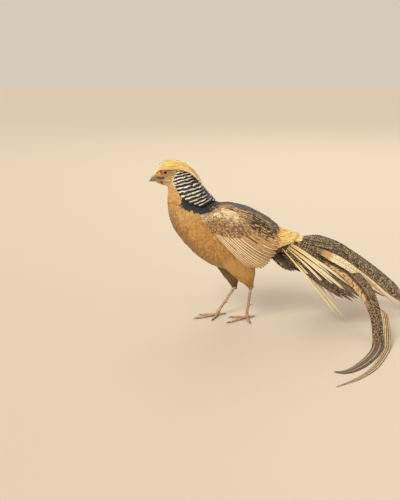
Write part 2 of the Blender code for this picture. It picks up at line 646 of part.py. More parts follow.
def make_tail():
    look = finish("tail_feathers", (0.45, 0.33, 0.20), 0.75)
    core_rows = np.array(TAIL_CORE)
    angles = np.linspace(0, 2 * math.pi, 16, endpoint=False)
    low, high, half = core_rows[:, 0:2], core_rows[:, 2:4], core_rows[:, 4]
    middle = (low + high) / 2
    reach = (high - low) / 2
    flat = middle[:, None] + reach[:, None] * np.cos(angles)[None, :, None]
    sideways = half[:, None] * np.sin(angles)[None, :]
    tail = loft("tail", np.stack([flat[..., 0], sideways, flat[..., 1]], -1), look)
    parts = []
    for sign in (-1.0, 1.0):
        parts += feather_fan(sign, SIDE_FEATHERS, SIDE_ROOT, SIDE_ROOT_STEP, SIDE_LENGTHS, SIDE_DROOPS,
                             SIDE_SPLAYS, look)
        parts += feather_fan(sign, UNDER_FEATHERS, UNDER_ROOT, UNDER_ROOT_STEP, UNDER_LENGTHS, UNDER_DROOPS,
                             UNDER_SPLAYS, look)
        spines = [np.array(LONG_SPIKE)]
        spines += [smooth_path((root, tip), 4) for root, tip in zip(SPIKE_ROOTS, SPIKE_TIPS)]
        for spine in spines:
            side = np.repeat([[0.0, 1.0, -SIDE_TILT * sign]], len(spine), axis=0)
            half_widths = SPIKE_HALF_WIDTH * blade(len(spine), 0.7, 0.5, 0.15)
            parts.append(vane("spike", spine * (1.0, sign, 1.0), side, half_widths, look, 0.0, columns=2))
    fuse(tail, parts)
    sockets = []
    for name, points, joints, half_width, outline in (
            ("tail_long_upper", LONG_UPPER, UPPER_JOINTS, LONG_HALF_WIDTH, UPPER_OUTLINE),
            ("tail_long_lower", LONG_LOWER, LOWER_JOINTS, LONG_HALF_WIDTH, LOWER_OUTLINE),
            ("tail_long_outer", outer_points(), OUTER_JOINTS, OUTER_HALF_WIDTH, OUTER_OUTLINE)):
        for length, (start, stop) in enumerate(zip(joints[:-1], joints[1:])):
            trim = GAP / POINT_SPACING
            places = np.linspace(start + trim * (length > 0), stop, round((stop - start) * LONG_STEPS) + 1)
            blade_parts = long_blade(points, places, half_width, outline)
            vane("%s_%d" % (name, length + 1), *blade_parts, look, LONG_CROWN)
            if length == 0 and name != "tail_long_outer":
                spine, side, half_widths = (part[:5] for part in blade_parts)
                up = np.array(LONG_FACING)
                sockets.append(vane("root_socket", spine + up * 2 * GAP, side, half_widths + 2 * GAP, look,
                                    LONG_CROWN, FEATHER_THICKNESS + 4 * GAP))
    cut(tail, sockets)


def feather_fan(sign, number, root, root_step, lengths, droops, splays, look):
    """Feathers on one side of the tail, each a step further out and more spread than the last."""
    made = []
    for order in range(number):
        share = order / (number - 1)
        length, droop, splay = (ends[0] + (ends[1] - ends[0]) * share for ends in (lengths, droops, splays))
        start = (np.array(root) + order * np.array(root_step)) * (1.0, sign, 1.0)
        spine = start + heading(droop, sign * splay) * np.linspace(0, length, 5)[:, None]
        side = np.repeat([[0.0, 1.0, -SIDE_TILT * sign]], 5, axis=0)
        half_widths = SIDE_HALF_WIDTH * blade(5, 0.5, 0.6, 0.25)
        made.append(vane("side_feather", spine, side, half_widths, look, LONG_CROWN))
    return made


def heading(droop, splay):
    """A way backwards that droops and splays by so many degrees."""
    droop, splay = math.radians(droop), math.radians(splay)
    return np.array([math.cos(droop) * math.cos(splay), math.sin(splay), -math.sin(droop) * math.cos(splay)])


def outer_points():
    """The path of the outer feather: beside the lower long feather, and then on its own."""
    places = np.linspace(*OUTER_ALONG, len(OUTER_FREE) + 1)
    spine, side, half_widths = long_blade(LONG_LOWER, places, LONG_HALF_WIDTH, LOWER_OUTLINE)
    beside = spine + side * (half_widths + OUTER_CLEARANCE + OUTER_HALF_WIDTH)[:, None]
    return np.concatenate([beside, np.array(OUTER_FREE)])


def long_blade(points, places, half_width, outline):
    """Rib, sideways ways and half widths of a stretch of a long feather."""
    end = len(points) - 1
    spine = between(points, places)
    step = 0.02
    ahead, behind = np.minimum(places + step, end), np.maximum(places - step, 0)
    way = unit(between(points, ahead) - between(points, behind))
    flat = np.clip(1 - spine[:, 2] / 0.06, 0, 1)[:, None]
    facing = unit(np.array(LONG_FACING) * (1 - flat) + np.array([0.0, 0.0, 1.0]) * flat)
    side = unit(np.cross(facing, way))
    shares, widths = np.array(outline).T
    return spine, side, half_width * np.interp(places / end, shares, widths)


def scute_shares(number):
    """Places along a limb for rings in pairs: the low and the high edge of each scute."""
    lows = np.linspace(0, 1, number, endpoint=False)
    highs = lows + 0.82 / number
    return np.append(np.stack([lows, highs], 1).ravel(), 1.0)


def raise_scutes(radii, around, height):
    """Stand the far edge of every scute off the front of a limb, and leave its back smooth."""
    angles = np.linspace(0, 2 * math.pi, around, endpoint=False)
    front = np.clip(0.4 + 1.2 * np.sin(angles), 0, 1)
    far_edges = np.arange(len(radii)) % 2
    return radii[:, None] + height * far_edges[:, None] * front[None, :]


def make_legs():
    thigh_look = finish("thigh_feathers", (0.70, 0.50, 0.28), 0.75)
    skin_look = finish("leg_skin", (0.66, 0.53, 0.40), 0.55)
    claw_look = finish("claw_horn", (0.30, 0.24, 0.18), 0.4)
    for side in ("left", "right"):
        hip, hock, foot = (np.array(place[side]) for place in (HIP, HOCK, FOOT))
        shank_way = unit(foot - hock)
        share = np.array(THIGH_SHARES)
        path = hip + (hock - hip) * share[:, None]
        path[:, 0] += 0.003 * np.sin(share * math.pi)
        thigh = tube("thigh_" + side, path, THIGH_RADII, thigh_look, THIGH_AROUND, last=shank_way,
                     squash=THIGH_SQUASH)
        cut(thigh, [torso_grown(thigh_look)])

        share = scute_shares(SHANK_SCUTES)
        top = hock + shank_way * GAP * 1.5
        path = top + (foot - top) * share[:, None]
        knob = 0.45 * np.exp(-(share / 0.07) ** 2) + 0.25 * np.exp(-((1 - share) / 0.08) ** 2)
        radii = raise_scutes(SHANK_RADIUS * (1 + knob), AROUND_LEG, SCUTE_HEIGHT)
        shank = tube("shank_" + side, path, radii, skin_look, first=shank_way, last=shank_way)
        spur_root = hock + (foot - hock) * SPUR_SHARE
        fuse(shank, [tube("spur", spur_root + np.array(SPUR_PATH), SPUR_RADII, skin_look, 8)])

        palm_top = foot + shank_way * GAP * 1.5
        palm_low = palm_top + shank_way * PALM_LENGTH
        sole = (palm_low[0], palm_low[1], FLOOR)
        palm = tube("foot_" + side, [palm_top, palm_low, (*sole[:2], PALM_SHOULDER), sole], PALM_RADII,
                    skin_look, first=shank_way, last=(0, 0, -1), floor=FLOOR)
        toes = []
        for toe, (x, y) in TOES[side].items():
            reach = np.array([x - sole[0], y - sole[1], 0.0])
            length = np.linalg.norm(reach)
            way = reach / length
            meaty = length - CLAW_LENGTH[toe]
            start = np.array([sole[0], sole[1], TOE_HEIGHTS[0]])
            share = scute_shares(max(3, round(meaty / TOE_SCUTE)))
            path = start + way * (meaty * share)[:, None]
            path[:, 2] = np.interp(share, (0, 1), TOE_HEIGHTS)
            radii = raise_scutes(TOE_RADIUS * (1 - 0.28 * share), TOE_AROUND, 0.6 * SCUTE_HEIGHT)
            toes.append(tube("toe", path, radii, skin_look, TOE_AROUND, last=way, floor=FLOOR))
            claw_start = start + way * (meaty + GAP)
            claw_start[2] = TOE_HEIGHTS[1]
            share = np.linspace(0, 1, 4)
            path = claw_start + way * (CLAW_LENGTH[toe] * share)[:, None]
            path[:, 2] += 0.0006 * np.sin(share * math.pi) - 0.0012 * share
            tube("claw_%s_%s" % (toe, side), path, CLAW_RADIUS * (1 - 0.85 * share), claw_look, CLAW_AROUND,
                 first=way, floor=FLOOR)
        fuse(palm, toes)


def stand_on_origin():
    """Move the finished bird so that the middle of its footprint is the origin."""
    spots = np.array([corner.co[:] for thing in bpy.data.objects for corner in thing.data.vertices])
    middle = (spots.min(0) + spots.max(0)) / 2
    for thing in bpy.data.objects:
        for corner in thing.data.vertices:
            corner.co.x -= middle[0]
            corner.co.y -= middle[1]


clear_scene()
EYE_LOOK = finish("eye", (0.12, 0.08, 0.04), 0.05)
make_head()
make_bill()
make_neck()
make_torso()
make_wings()
make_tail()
make_legs()
stand_on_origin()
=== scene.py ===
"""A golden pheasant cock of the pale colour form, life size, standing on a plain floor."""
import json
import math

import bmesh
import bpy
import numpy as np
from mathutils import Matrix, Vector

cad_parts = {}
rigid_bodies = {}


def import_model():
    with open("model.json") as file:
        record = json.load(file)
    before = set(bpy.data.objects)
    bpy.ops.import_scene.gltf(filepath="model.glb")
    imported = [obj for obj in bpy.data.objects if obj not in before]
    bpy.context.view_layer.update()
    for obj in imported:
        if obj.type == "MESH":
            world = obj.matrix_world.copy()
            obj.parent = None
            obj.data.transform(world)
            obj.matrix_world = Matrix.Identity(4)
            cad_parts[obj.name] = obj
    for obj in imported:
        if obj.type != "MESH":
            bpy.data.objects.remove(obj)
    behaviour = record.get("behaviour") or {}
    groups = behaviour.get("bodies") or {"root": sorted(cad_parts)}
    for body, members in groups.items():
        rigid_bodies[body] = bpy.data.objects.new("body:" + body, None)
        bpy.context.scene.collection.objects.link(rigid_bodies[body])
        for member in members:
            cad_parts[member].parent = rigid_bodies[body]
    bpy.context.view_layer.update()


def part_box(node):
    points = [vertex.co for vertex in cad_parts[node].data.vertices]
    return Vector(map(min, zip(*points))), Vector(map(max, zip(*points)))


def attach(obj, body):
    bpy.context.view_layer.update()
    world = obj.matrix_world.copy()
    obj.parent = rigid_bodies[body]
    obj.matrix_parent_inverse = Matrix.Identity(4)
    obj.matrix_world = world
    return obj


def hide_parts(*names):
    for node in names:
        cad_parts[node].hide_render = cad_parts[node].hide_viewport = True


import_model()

# The flesh and skin of head, neck, body and thighs, drawn as one surface from the bill to the root
# of the tail. All feathers are rooted in it. It is dull buff skin, a little darker low on the bird.
# Each row of the body is a cross section: its lowest point (x, z), its highest point (x, z) and half
# its width.
BODY = (
    (-0.1692, 0.3139, -0.1724, 0.3295, 0.0064),
    (-0.1644, 0.3108, -0.1666, 0.3405, 0.0097),
    (-0.1569, 0.3079, -0.1574, 0.3482, 0.0121),
    (-0.1487, 0.3060, -0.1434, 0.3529, 0.0136),
    (-0.1440, 0.3026, -0.1261, 0.3525, 0.0146),
    (-0.1427, 0.2975, -0.1100, 0.3449, 0.0153),
    (-0.1430, 0.2908, -0.0959, 0.3329, 0.0163),
    (-0.1440, 0.2797, -0.0830, 0.3163, 0.0198),
    (-0.1438, 0.2618, -0.0678, 0.2964, 0.0257),
    (-0.1413, 0.2403, -0.0503, 0.2763, 0.0321),
    (-0.1350, 0.2188, -0.0272, 0.2662, 0.0390),
    (-0.1230, 0.1970, -0.0053, 0.2607, 0.0445),
    (-0.0865, 0.1543, 0.0343, 0.2494, 0.0504),
    (-0.0373, 0.1228, 0.0721, 0.2302, 0.0509),
    (0.0233, 0.1134, 0.1014, 0.2093, 0.0435),
    (0.0624, 0.1273, 0.1183, 0.2014, 0.0336),
    (0.0940, 0.1497, 0.1327, 0.1960, 0.0227),
    (0.1120, 0.1580, 0.1425, 0.1940, 0.0185),
    (0.1280, 0.1630, 0.1520, 0.1910, 0.0140),
)
BODY_END = len(BODY) - 1.0
FLANK_ROUNDNESS = 0.9
EYE_PLACE = (-0.1480, 0.0088, 0.3366)
# How deep the skin lies under the outer surface of the feathers, row by row.
SKIN_ROWS = (0.0, 3.0, 4.5, 9.5, 10.5, 16.0, 18.0)
SKIN_DEPTHS = (0.0006, 0.0012, 0.0022, 0.0022, 0.0042, 0.0036, 0.0020)
HIP = {"left": (0.012, -0.027, 0.136), "right": (-0.014, 0.027, 0.134)}
HOCK = {"left": (0.0400, -0.0240, 0.0805), "right": (0.0060, 0.0235, 0.0640)}
THIGH_SHARES = (0.0, 0.30, 0.55, 0.75, 0.90, 1.0)
THIGH_RADII = (0.0290, 0.0240, 0.0185, 0.0125, 0.0078, 0.0052)
THIGH_SQUASH = 0.72
THIGH_BOW = 0.003
THIGH_SKIN_DEPTH = 0.0016
BODY_RINGS = 145
BODY_AROUND = 72
THIGH_RINGS = 16
THIGH_AROUND = 32

eye_low, eye_high = (np.array(corner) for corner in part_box("eye_left"))
SHIFT = (eye_low + eye_high) / 2 - np.array(EYE_PLACE) * (1, -1, 1)
draw = np.random.default_rng(41)


def unit(vectors):
    return vectors / np.linalg.norm(vectors, axis=-1, keepdims=True)


def linear(display):
    """Colours as a screen shows them, turned into amounts of light."""
    display = np.clip(np.asarray(display, float), 0, 1)
    return np.where(display <= 0.04045, display / 12.92, ((display + 0.055) / 1.055) ** 2.4)


def between(table, place):
    """Read a table of rows at any place between them, along a smooth curve through them."""
    rows = np.array(table, float)
    place = np.clip(np.asarray(place, float), 0, len(rows) - 1)
    row = np.minimum(place.astype(int), len(rows) - 2)
    part = (place - row)[..., None]
    before, low, high, after = (rows[np.clip(row + step, 0, len(rows) - 1)] for step in (-1, 0, 1, 2))
    bend = 2 * before - 5 * low + 4 * high - after
    twist = 3 * low - before - 3 * high + after
    return 0.5 * (2 * low + (high - before) * part + bend * part ** 2 + twist * part ** 3)


def grid(first, second):
    """Two lists of values as the rows and columns of a grid."""
    return np.meshgrid(first, second, indexing="ij")


def once_round(count):
    """Turns in degrees, evenly spaced round a ring."""
    return np.linspace(0, 360, count, endpoint=False)


def on_body(row, turn):
    """The point of the body at a row and a turn in degrees: 0 back, 90 left flank, 180 breast."""
    section = between(BODY, row)
    low, high, half = section[..., 0:2], section[..., 2:4], section[..., 4]
    up = np.cos(np.radians(turn))
    out = np.sin(np.radians(turn))
    middle = (low + high) / 2 + (high - low) / 2 * up[..., None]
    side = -half * np.sign(out) * np.abs(out) ** FLANK_ROUNDNESS
    return np.stack([middle[..., 0], side, middle[..., 1]], -1)


def over_body(row, turn, height):
    """A point that stands off the body's surface by a height, with the way out of the surface."""
    row, turn, height = np.broadcast_arrays(np.asarray(row, float), np.asarray(turn, float), height)
    row = np.minimum(row, BODY_END - 0.01)
    step, turn_step = 0.002, 0.1
    along = on_body(row + step, turn) - on_body(row - step, turn)
    round_it = on_body(row, turn + turn_step) - on_body(row, turn - turn_step)
    out = unit(np.cross(along, round_it))
    section = between(BODY, row)
    middle = (section[..., 0:2] + section[..., 2:4]) / 2
    spot = on_body(row, turn)
    inward = spot - np.stack([middle[..., 0], np.zeros(row.shape), middle[..., 1]], -1)
    out = out * np.sign((inward * out).sum(-1))[..., None]
    return spot + out * height[..., None] + SHIFT, out


def thigh_surface(side):
    """The surface of one thigh, read by the share of its length, a turn and a height over it."""
    hip, hock = np.array(HIP[side]), np.array(HOCK[side])
    way = unit(hock - hip)
    sideways = unit(np.cross(way, (1.0, 0.001, 0.3)))
    front = np.cross(sideways, way)

    def over_thigh(share, turn, height):
        share, turn = np.asarray(share, float), np.asarray(turn, float)
        share, turn, height = np.broadcast_arrays(share, turn, height)
        middle = hip + (hock - hip) * share[..., None]
        middle[..., 0] += THIGH_BOW * np.sin(np.clip(share, 0, 1) * math.pi)
        radius = np.interp(share, THIGH_SHARES, THIGH_RADII)
        angle = np.radians(turn)[..., None]
        spoke = THIGH_SQUASH * np.cos(angle) * sideways + np.sin(angle) * front
        out = unit(np.cos(angle) * sideways + THIGH_SQUASH * np.sin(angle) * front)
        return middle + spoke * radius[..., None] + out * height[..., None] + SHIFT, out

    return over_thigh


class Wire:
    """One output among a material's nodes. Python's operators on it add Math nodes."""

    def __init__(self, finish, socket):
        self.finish = finish
        self.socket = socket

    def maths(self, operation, first, second=0.0):
        return self.finish.node("ShaderNodeMath", {"operation": operation}, {0: first, 1: second})

    def __add__(self, other):
        return self.maths("ADD", self, other)

    def __radd__(self, other):
        return self.maths("ADD", other, self)

    def __sub__(self, other):
        return self.maths("SUBTRACT", self, other)

    def __rsub__(self, other):
        return self.maths("SUBTRACT", other, self)

    def __mul__(self, other):
        return self.maths("MULTIPLY", self, other)

    def __rmul__(self, other):
        return self.maths("MULTIPLY", other, self)

    def __abs__(self):
        return self.maths("ABSOLUTE", self)

    def sine(self):
        return self.maths("SINE", self)


class Finish:
    """A material whose nodes are added one by one."""

    def __init__(self, name, roughness=0.6, sheen=0.0, coat=0.0):
        self.material = bpy.data.materials.new(name)
        self.material.use_nodes = True
        self.tree = self.material.node_tree
        self.shader = self.tree.nodes["Principled BSDF"]
        self.shader.inputs["Roughness"].default_value = roughness
        self.shader.inputs["Sheen Weight"].default_value = sheen
        self.shader.inputs["Coat Weight"].default_value = coat
        self.shader.inputs["Specular IOR Level"].default_value = 0.35

    def join(self, value, socket):
        if isinstance(value, Wire):
            self.tree.links.new(value.socket, socket)
        elif hasattr(value, "__len__") and socket.type == "RGBA":
            socket.default_value = (*linear(value), 1.0)
        else:
            socket.default_value = value

    def node(self, kind, settings=None, inputs=None, output=0):
        made = self.tree.nodes.new(kind)
        for name, value in (settings or {}).items():
            setattr(made, name, value)
        for name, value in (inputs or {}).items():
            self.join(value, made.inputs[name])
        return Wire(self, made.outputs[output])

    def attribute(self, name, output="Color"):
        return self.node("ShaderNodeAttribute", {"attribute_name": name}, output=output)

    def uv(self, name, axis):
        place = self.node("ShaderNodeUVMap", {"uv_map": name})
        return self.node("ShaderNodeSeparateXYZ", inputs={0: place}, output=axis)

    def place(self):
        return self.node("ShaderNodeTexCoord", output="Object")

    def noise(self, where, scale, detail=2.0, rough=0.5):
        return self.node("ShaderNodeTexNoise", inputs={"Vector": where, "Scale": scale, "Detail": detail,
                                                       "Roughness": rough})

    def point(self, x, y, z=0.0):
        return self.node("ShaderNodeCombineXYZ", inputs={0: x, 1: y, 2: z})

    def ramp(self, value, low, high):
        """0 below one value and 1 above another, with a soft step between them."""
        return self.node("ShaderNodeMapRange", {"interpolation_type": "SMOOTHSTEP"},
                         {"Value": value, "From Min": low, "From Max": high})

    def mix(self, share, first, second):
        return self.node("ShaderNodeMix", {"data_type": "RGBA"}, {0: share, 6: first, 7: second}, 2)

    def shaded(self, colour, amount):
        return self.node("ShaderNodeVectorMath", {"operation": "SCALE"}, {0: colour, "Scale": amount})

    def bump(self, height, distance, strength=0.5):
        normal = self.node("ShaderNodeBump", inputs={"Strength": strength, "Distance": distance,
                                                     "Height": height})
        self.join(normal, self.shader.inputs["Normal"])

    def paint(self, colour):
        self.join(colour, self.shader.inputs["Base Color"])


def mesh_of_rings(rings, closed_ends=True):
    """A mesh through rings of points, made from one grid whose side edges are merged."""
    rings = np.concatenate([rings, rings[:, :1]], axis=1)
    bm = bmesh.new()
    bmesh.ops.create_grid(bm, x_segments=rings.shape[1] - 1, y_segments=rings.shape[0] - 1, size=1.0)
    bm.verts.ensure_lookup_table()
    for corner, spot in zip(bm.verts, rings.reshape(-1, 3)):
        corner.co = spot
    bmesh.ops.remove_doubles(bm, verts=bm.verts[:], dist=1e-7)
    if closed_ends:
        rim = [edge for edge in bm.edges if edge.is_boundary]
        ends = bmesh.ops.holes_fill(bm, edges=rim, sides=0)["faces"]
        bmesh.ops.poke(bm, faces=ends)
    bmesh.ops.recalc_face_normals(bm, faces=bm.faces[:])
    if bm.calc_volume(signed=True) < 0:
        bmesh.ops.reverse_faces(bm, faces=bm.faces[:])
    return bm


def show(name, mesh, finish, slot, *nodes):
    """Put a finished mesh in the scene as a piece of the bird that stands for its CAD nodes."""
    if isinstance(mesh, bmesh.types.BMesh):
        bm = mesh
        mesh = bpy.data.meshes.new(name)
        bm.to_mesh(mesh)
        bm.free()
        mesh.shade_smooth()
    mesh.materials.append(finish.material)
    piece = bpy.data.objects.new(name, mesh)
    bpy.context.scene.collection.objects.link(piece)
    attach(piece, "root")
    if nodes:
        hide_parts(*nodes)
    return piece


def form_of_rings(name, rings):
    """A closed form that only takes part in joining the skin."""
    form = bpy.data.objects.new(name, bpy.data.meshes.new(name))
    bm = mesh_of_rings(rings)
    bm.to_mesh(form.data)
    bm.free()
    return form


def joined_skin():
    """Body and thighs, each a closed form, joined into one mesh."""
    rows, turns = grid(np.linspace(0, BODY_END, BODY_RINGS), once_round(BODY_AROUND))
    spots, _ = over_body(rows, turns, -np.interp(rows, SKIN_ROWS, SKIN_DEPTHS))
    skin = form_of_rings("skin_form", spots)
    group = bpy.data.collections.new("thigh_forms")
    shares, around = grid(np.linspace(0.02, 1.0, THIGH_RINGS), once_round(THIGH_AROUND))
    for side in ("left", "right"):
        spots, _ = thigh_surface(side)(shares, around, -THIGH_SKIN_DEPTH)
        group.objects.link(form_of_rings("thigh_form", spots))
    bpy.context.scene.collection.objects.link(skin)
    joining = skin.modifiers.new("join", "BOOLEAN")
    joining.operation = "UNION"
    joining.operand_type = "COLLECTION"
    joining.collection = group
    joining.solver = "EXACT"
    bpy.context.view_layer.update()
    joined = bpy.data.meshes.new_from_object(skin.evaluated_get(bpy.context.evaluated_depsgraph_get()))
    for thing in [skin, *group.objects]:
        bpy.data.objects.remove(thing, do_unlink=True)
    bpy.data.collections.remove(group)
    joined.name = "skin"
    joined.shade_smooth()
    return joined


def make_skin():
    finish = Finish("skin_under_feathers", roughness=0.7, sheen=0.2)
    where = finish.place()
    down = finish.noise(where, 420.0, 3.0)
    pores = finish.noise(where, 1600.0, 2.0)
    height_of_place = finish.node("ShaderNodeSeparateXYZ", inputs={0: where}, output="Z")
    low = finish.ramp(height_of_place, 0.11, 0.30)
    ground = finish.mix(low, (0.62, 0.48, 0.32), (0.72, 0.62, 0.46))
    finish.paint(finish.mix(down * 0.5, ground, (0.50, 0.40, 0.28)))
    finish.bump(down + pores * 0.5, 0.0006)
    show("skin", joined_skin(), finish, "breast", "head", "neck", "torso", "thigh_left", "thigh_right")


make_skin()

# Small body feathers: thin vanes of fine barbs on a weak shaft, each rooted in the skin and lying
# back over the next like a roof tile. Their ends are loose tufts. Longer ones hang from the flanks
# over the tops of the thighs.
PATCH = 0.003
VANE_THICKNESS = 0.0004
FRINGE_THICKNESS = 0.0002
CREASE_ANGLE = math.radians(70)
SMALL_SHARES = np.array((0.0, 0.34, 0.68, 0.90, 1.0))
SMALL_OUTLINE = np.array((0.30, 0.86, 1.00, 0.72, 0.22))


def vane_faces(steps, columns):
    """The faces of one feather, the step and column of each corner, and the first step of each face.

    The upper side uses all points of the grid. The lower side has points of its own except at the rim.
    """
    upper = np.arange(steps * columns).reshape(steps, columns)
    lower = upper.copy()
    lower[1:-1, 1:-1] = steps * columns + np.arange((steps - 2) * (columns - 2)).reshape(steps - 2, -1)
    step_at, column_at = grid(np.arange(steps), np.arange(columns))
    quads, corner_steps, corner_columns, first_steps = [], [], [], []
    for points, order in ((upper, [0, 1, 2, 3]), (lower, [3, 2, 1, 0])):
        for values, kept in ((points, quads), (step_at, corner_steps), (column_at, corner_columns)):
            four = np.stack([values[:-1, :-1], values[1:, :-1], values[1:, 1:], values[:-1, 1:]], -1)
            kept.append(four.reshape(-1, 4)[:, order])
        first_steps.append(np.repeat(np.arange(steps - 1), columns - 1))
    return tuple(np.concatenate(kept) for kept in (quads, corner_steps, corner_columns, first_steps))


def mesh_of_faces(name, points, faces):
    mesh = bpy.data.meshes.new(name)
    mesh.vertices.add(len(points))
    mesh.vertices.foreach_set("co", points.ravel())
    mesh.loops.add(faces.size)
    mesh.loops.foreach_set("vertex_index", faces.ravel().astype(np.int32))
    mesh.polygons.add(faces.size // 4)
    mesh.polygons.foreach_set("loop_start", np.arange(0, faces.size, 4, dtype=np.int32))
    mesh.update(calc_edges=True)
    return mesh


def feather_mesh(name, spots, sides, ups, half_widths, colours, bake, columns=3, crown=0.12,
                 thickness=VANE_THICKNESS, outer=None, ridge=0.0, floor=None, top=None):
    """All feathers of a piece in one mesh: each is a thin closed lens, arched across its shaft.

    Colours are given for both ends of each step along the feather. Bake gives the corner of each
    step's patch in the flat map and the size of the patch. Top, where it is given, holds the whole
    upper side.
    """
    number, steps = spots.shape[:2]
    across = np.linspace(-1, 1, columns) if np.isscalar(columns) else np.array(columns, float)
    columns = len(across)
    if top is None:
        reach = (across * half_widths[..., None])[..., None]
        top = spots[:, :, None] + sides[:, :, None] * reach
        top -= ups[:, :, None] * (crown * np.abs(reach) * np.abs(across)[:, None])
    if ridge:
        top += ups[:, :, None] * (ridge * np.clip(1 - np.abs(across) / 0.1, 0, 1))[:, None]
    inner = top[:, 1:-1, 1:-1] - ups[:, 1:-1, None] * thickness
    if floor is not None:
        top[..., 2] = np.maximum(top[..., 2], floor + thickness)
        inner[..., 2] = np.maximum(inner[..., 2], floor)
    points = np.concatenate([top.reshape(number, -1, 3), inner.reshape(number, -1, 3)], 1)
    quads, corner_steps, corner_columns, first_steps = vane_faces(steps, columns)
    faces = quads[None] + (np.arange(number) * points.shape[1])[:, None, None]
    mesh = mesh_of_faces(name, points.reshape(-1, 3), faces)
    ends = corner_steps - first_steps[:, None]
    colour = linear(colours[:, first_steps[:, None], ends])
    colour = np.concatenate([colour, np.ones((*colour.shape[:-1], 1))], -1)
    plumage = mesh.attributes.new("plumage", "FLOAT_COLOR", "CORNER")
    plumage.data.foreach_set("color", colour.ravel())
    if outer is None:
        outer = np.ones(number)
    along = np.concatenate([np.zeros((number, 1)),
                            np.cumsum(np.linalg.norm(np.diff(spots, axis=1), axis=-1), axis=1)], 1)
    vane_x = 0.5 - 0.5 * across[corner_columns][None] * outer[:, None, None]
    vane_y = (along / along[:, -1:])[:, corner_steps]
    span_x = across[corner_columns][None] * half_widths[:, corner_steps] * outer[:, None, None] * 100
    span_y = along[:, corner_steps] * 100
    patch, size = bake
    flat_x = patch[:, first_steps, 0][..., None] + (1 + across[corner_columns]) / 2 * size[0]
    flat_y = patch[:, first_steps, 1][..., None] + vane_y * size[1]
    for label, x, y in (("vane", vane_x, vane_y), ("span", span_x, span_y), ("OFBake", flat_x, flat_y)):
        layer = mesh.uv_layers.new(name=label)
        x, y = np.broadcast_arrays(x, y)
        layer.uv.foreach_set("vector", np.stack([x, y], -1).astype(np.float32).ravel())
    lot = mesh.attributes.new("lot", "FLOAT", "POINT")
    lot.data.foreach_set("value", np.repeat(draw.random(number), points.shape[1]).astype(np.float32))
    mesh.uv_layers["OFBake"].active_render = True
    mesh.shade_smooth()
    mesh.set_sharp_from_angle(angle=CREASE_ANGLE)
    return mesh


def tuft_patches(rows, turns, steps, zones=None):
    """A small patch for each tuft at its root's place on the unrolled skin; a zone has its own patch."""
    zones = np.zeros(steps - 1) if zones is None else np.array(zones)
    x = 0.01 + 0.97 * rows[:, None] / BODY_END * np.ones(steps - 1)
    y = 0.01 + 0.96 * (turns[:, None] + 180) / 360 + zones * PATCH
    return np.stack([x, y], -1), (PATCH, PATCH)


def cell_patches(number, steps):
    """A cell of its own for each large vane, in a square of cells."""
    wide = math.ceil(math.sqrt(number))
    order = np.arange(number)
    x = (order % wide + 0.05) / wide
    y = (order // wide + 0.05) / wide
    patch = np.stack([x, y], -1)[:, None].repeat(steps - 1, axis=1)
    return patch, (0.9 / wide, 0.9 / wide)


def staggered(count, line, loose=0.3):
    """Shares of the way along a line of roots, out of step with the lines beside it."""
    return (np.arange(count) + 0.5 * (line % 2) + draw.uniform(-loose, loose, count)) / count


def scatter(first, last, spacing):
    """Roots in staggered lines round the body between two rows, a little out of line."""
    rows, turns = [], []
    row, line = first, 0
    ring_turns = np.linspace(-180, 180, 145)
    ahead_by = 0.05
    while row < last:
        ring = on_body(np.full(len(ring_turns), row), ring_turns)
        arc = np.concatenate([[0], np.cumsum(np.linalg.norm(np.diff(ring, axis=0), axis=1))])
        ahead = on_body(np.full(len(ring_turns), row + ahead_by), ring_turns)
        step = spacing * 0.85 / (np.linalg.norm(ahead - ring, axis=1).mean() / ahead_by)
        count = max(8, round(arc[-1] / spacing))
        turns.append(np.interp(staggered(count, line) % 1.0 * arc[-1], arc, ring_turns))
        rows.append(np.maximum(row + draw.uniform(-0.4, 0.4, count) * step, 0.03))
        row += step
        line += 1
    return np.concatenate(rows), np.concatenate(turns)


def run_along(rows, turns, lengths, shares):
    """The rows that feathers pass from their roots, so that each is as long as it should be."""
    step = 0.02
    ahead = on_body(rows + step, turns) - on_body(rows - step, turns)
    pace = np.linalg.norm(ahead, axis=-1) / (2 * step)
    return rows[:, None] + (lengths / pace)[:, None] * shares


def lay_on(surface, rows, turns, heights, tilt=0.0, twist=0.0):
    """Spines that lie on a surface, with the ways across them and out of them."""
    spots, out = surface(rows, turns, heights)
    way = unit(np.gradient(spots, axis=1))
    across = unit(np.cross(out, way))
    sign = np.where(np.asarray(turns).mean(axis=1) < 0, -1.0, 1.0)
    tilt = np.broadcast_to(tilt, (len(spots),)) * -sign + twist
    across = across * np.cos(tilt)[:, None, None] + out * np.sin(tilt)[:, None, None]
    return spots, across, unit(np.cross(way, across)), sign


def feather_finish(name, roughness=0.6, barbs=24.0, streak=0.22, depth=0.0002, sheen=0.25):
    """Barbs that slant from the shaft, over the colour that each feather brings."""
    finish = Finish(name, roughness, sheen)
    colour = finish.attribute("plumage")
    across, along = finish.uv("span", "X"), finish.uv("span", "Y")
    barb = ((along - abs(across) * 1.1) * (barbs * 2 * math.pi)).sine()
    grain = finish.noise(finish.place(), 700.0, 3.0, 0.6)
    shade = 1 - streak * 0.5 + barb * (streak * 0.2) + grain * streak
    finish.paint(finish.shaded(colour, shade))
    finish.bump(barb * 0.4 + grain, depth, 0.4)
    return finish


def blend_colours(first, second, share):
    share = np.asarray(share)[..., None]
    return np.array(first) * (1 - share) + np.array(second) * share


def both_ends(colours):
    """Colours at the places along each feather, as those at both ends of each step."""
    return np.stack([colours[:, :-1], colours[:, 1:]], 2)


def stripe_of_steps(root_colour, tip_colour, shares):
    """Colours along each feather, from its root's to its tip's."""
    return both_ends(root_colour[:, None] + (tip_colour - root_colour)[:, None] * shares[None, :, None])


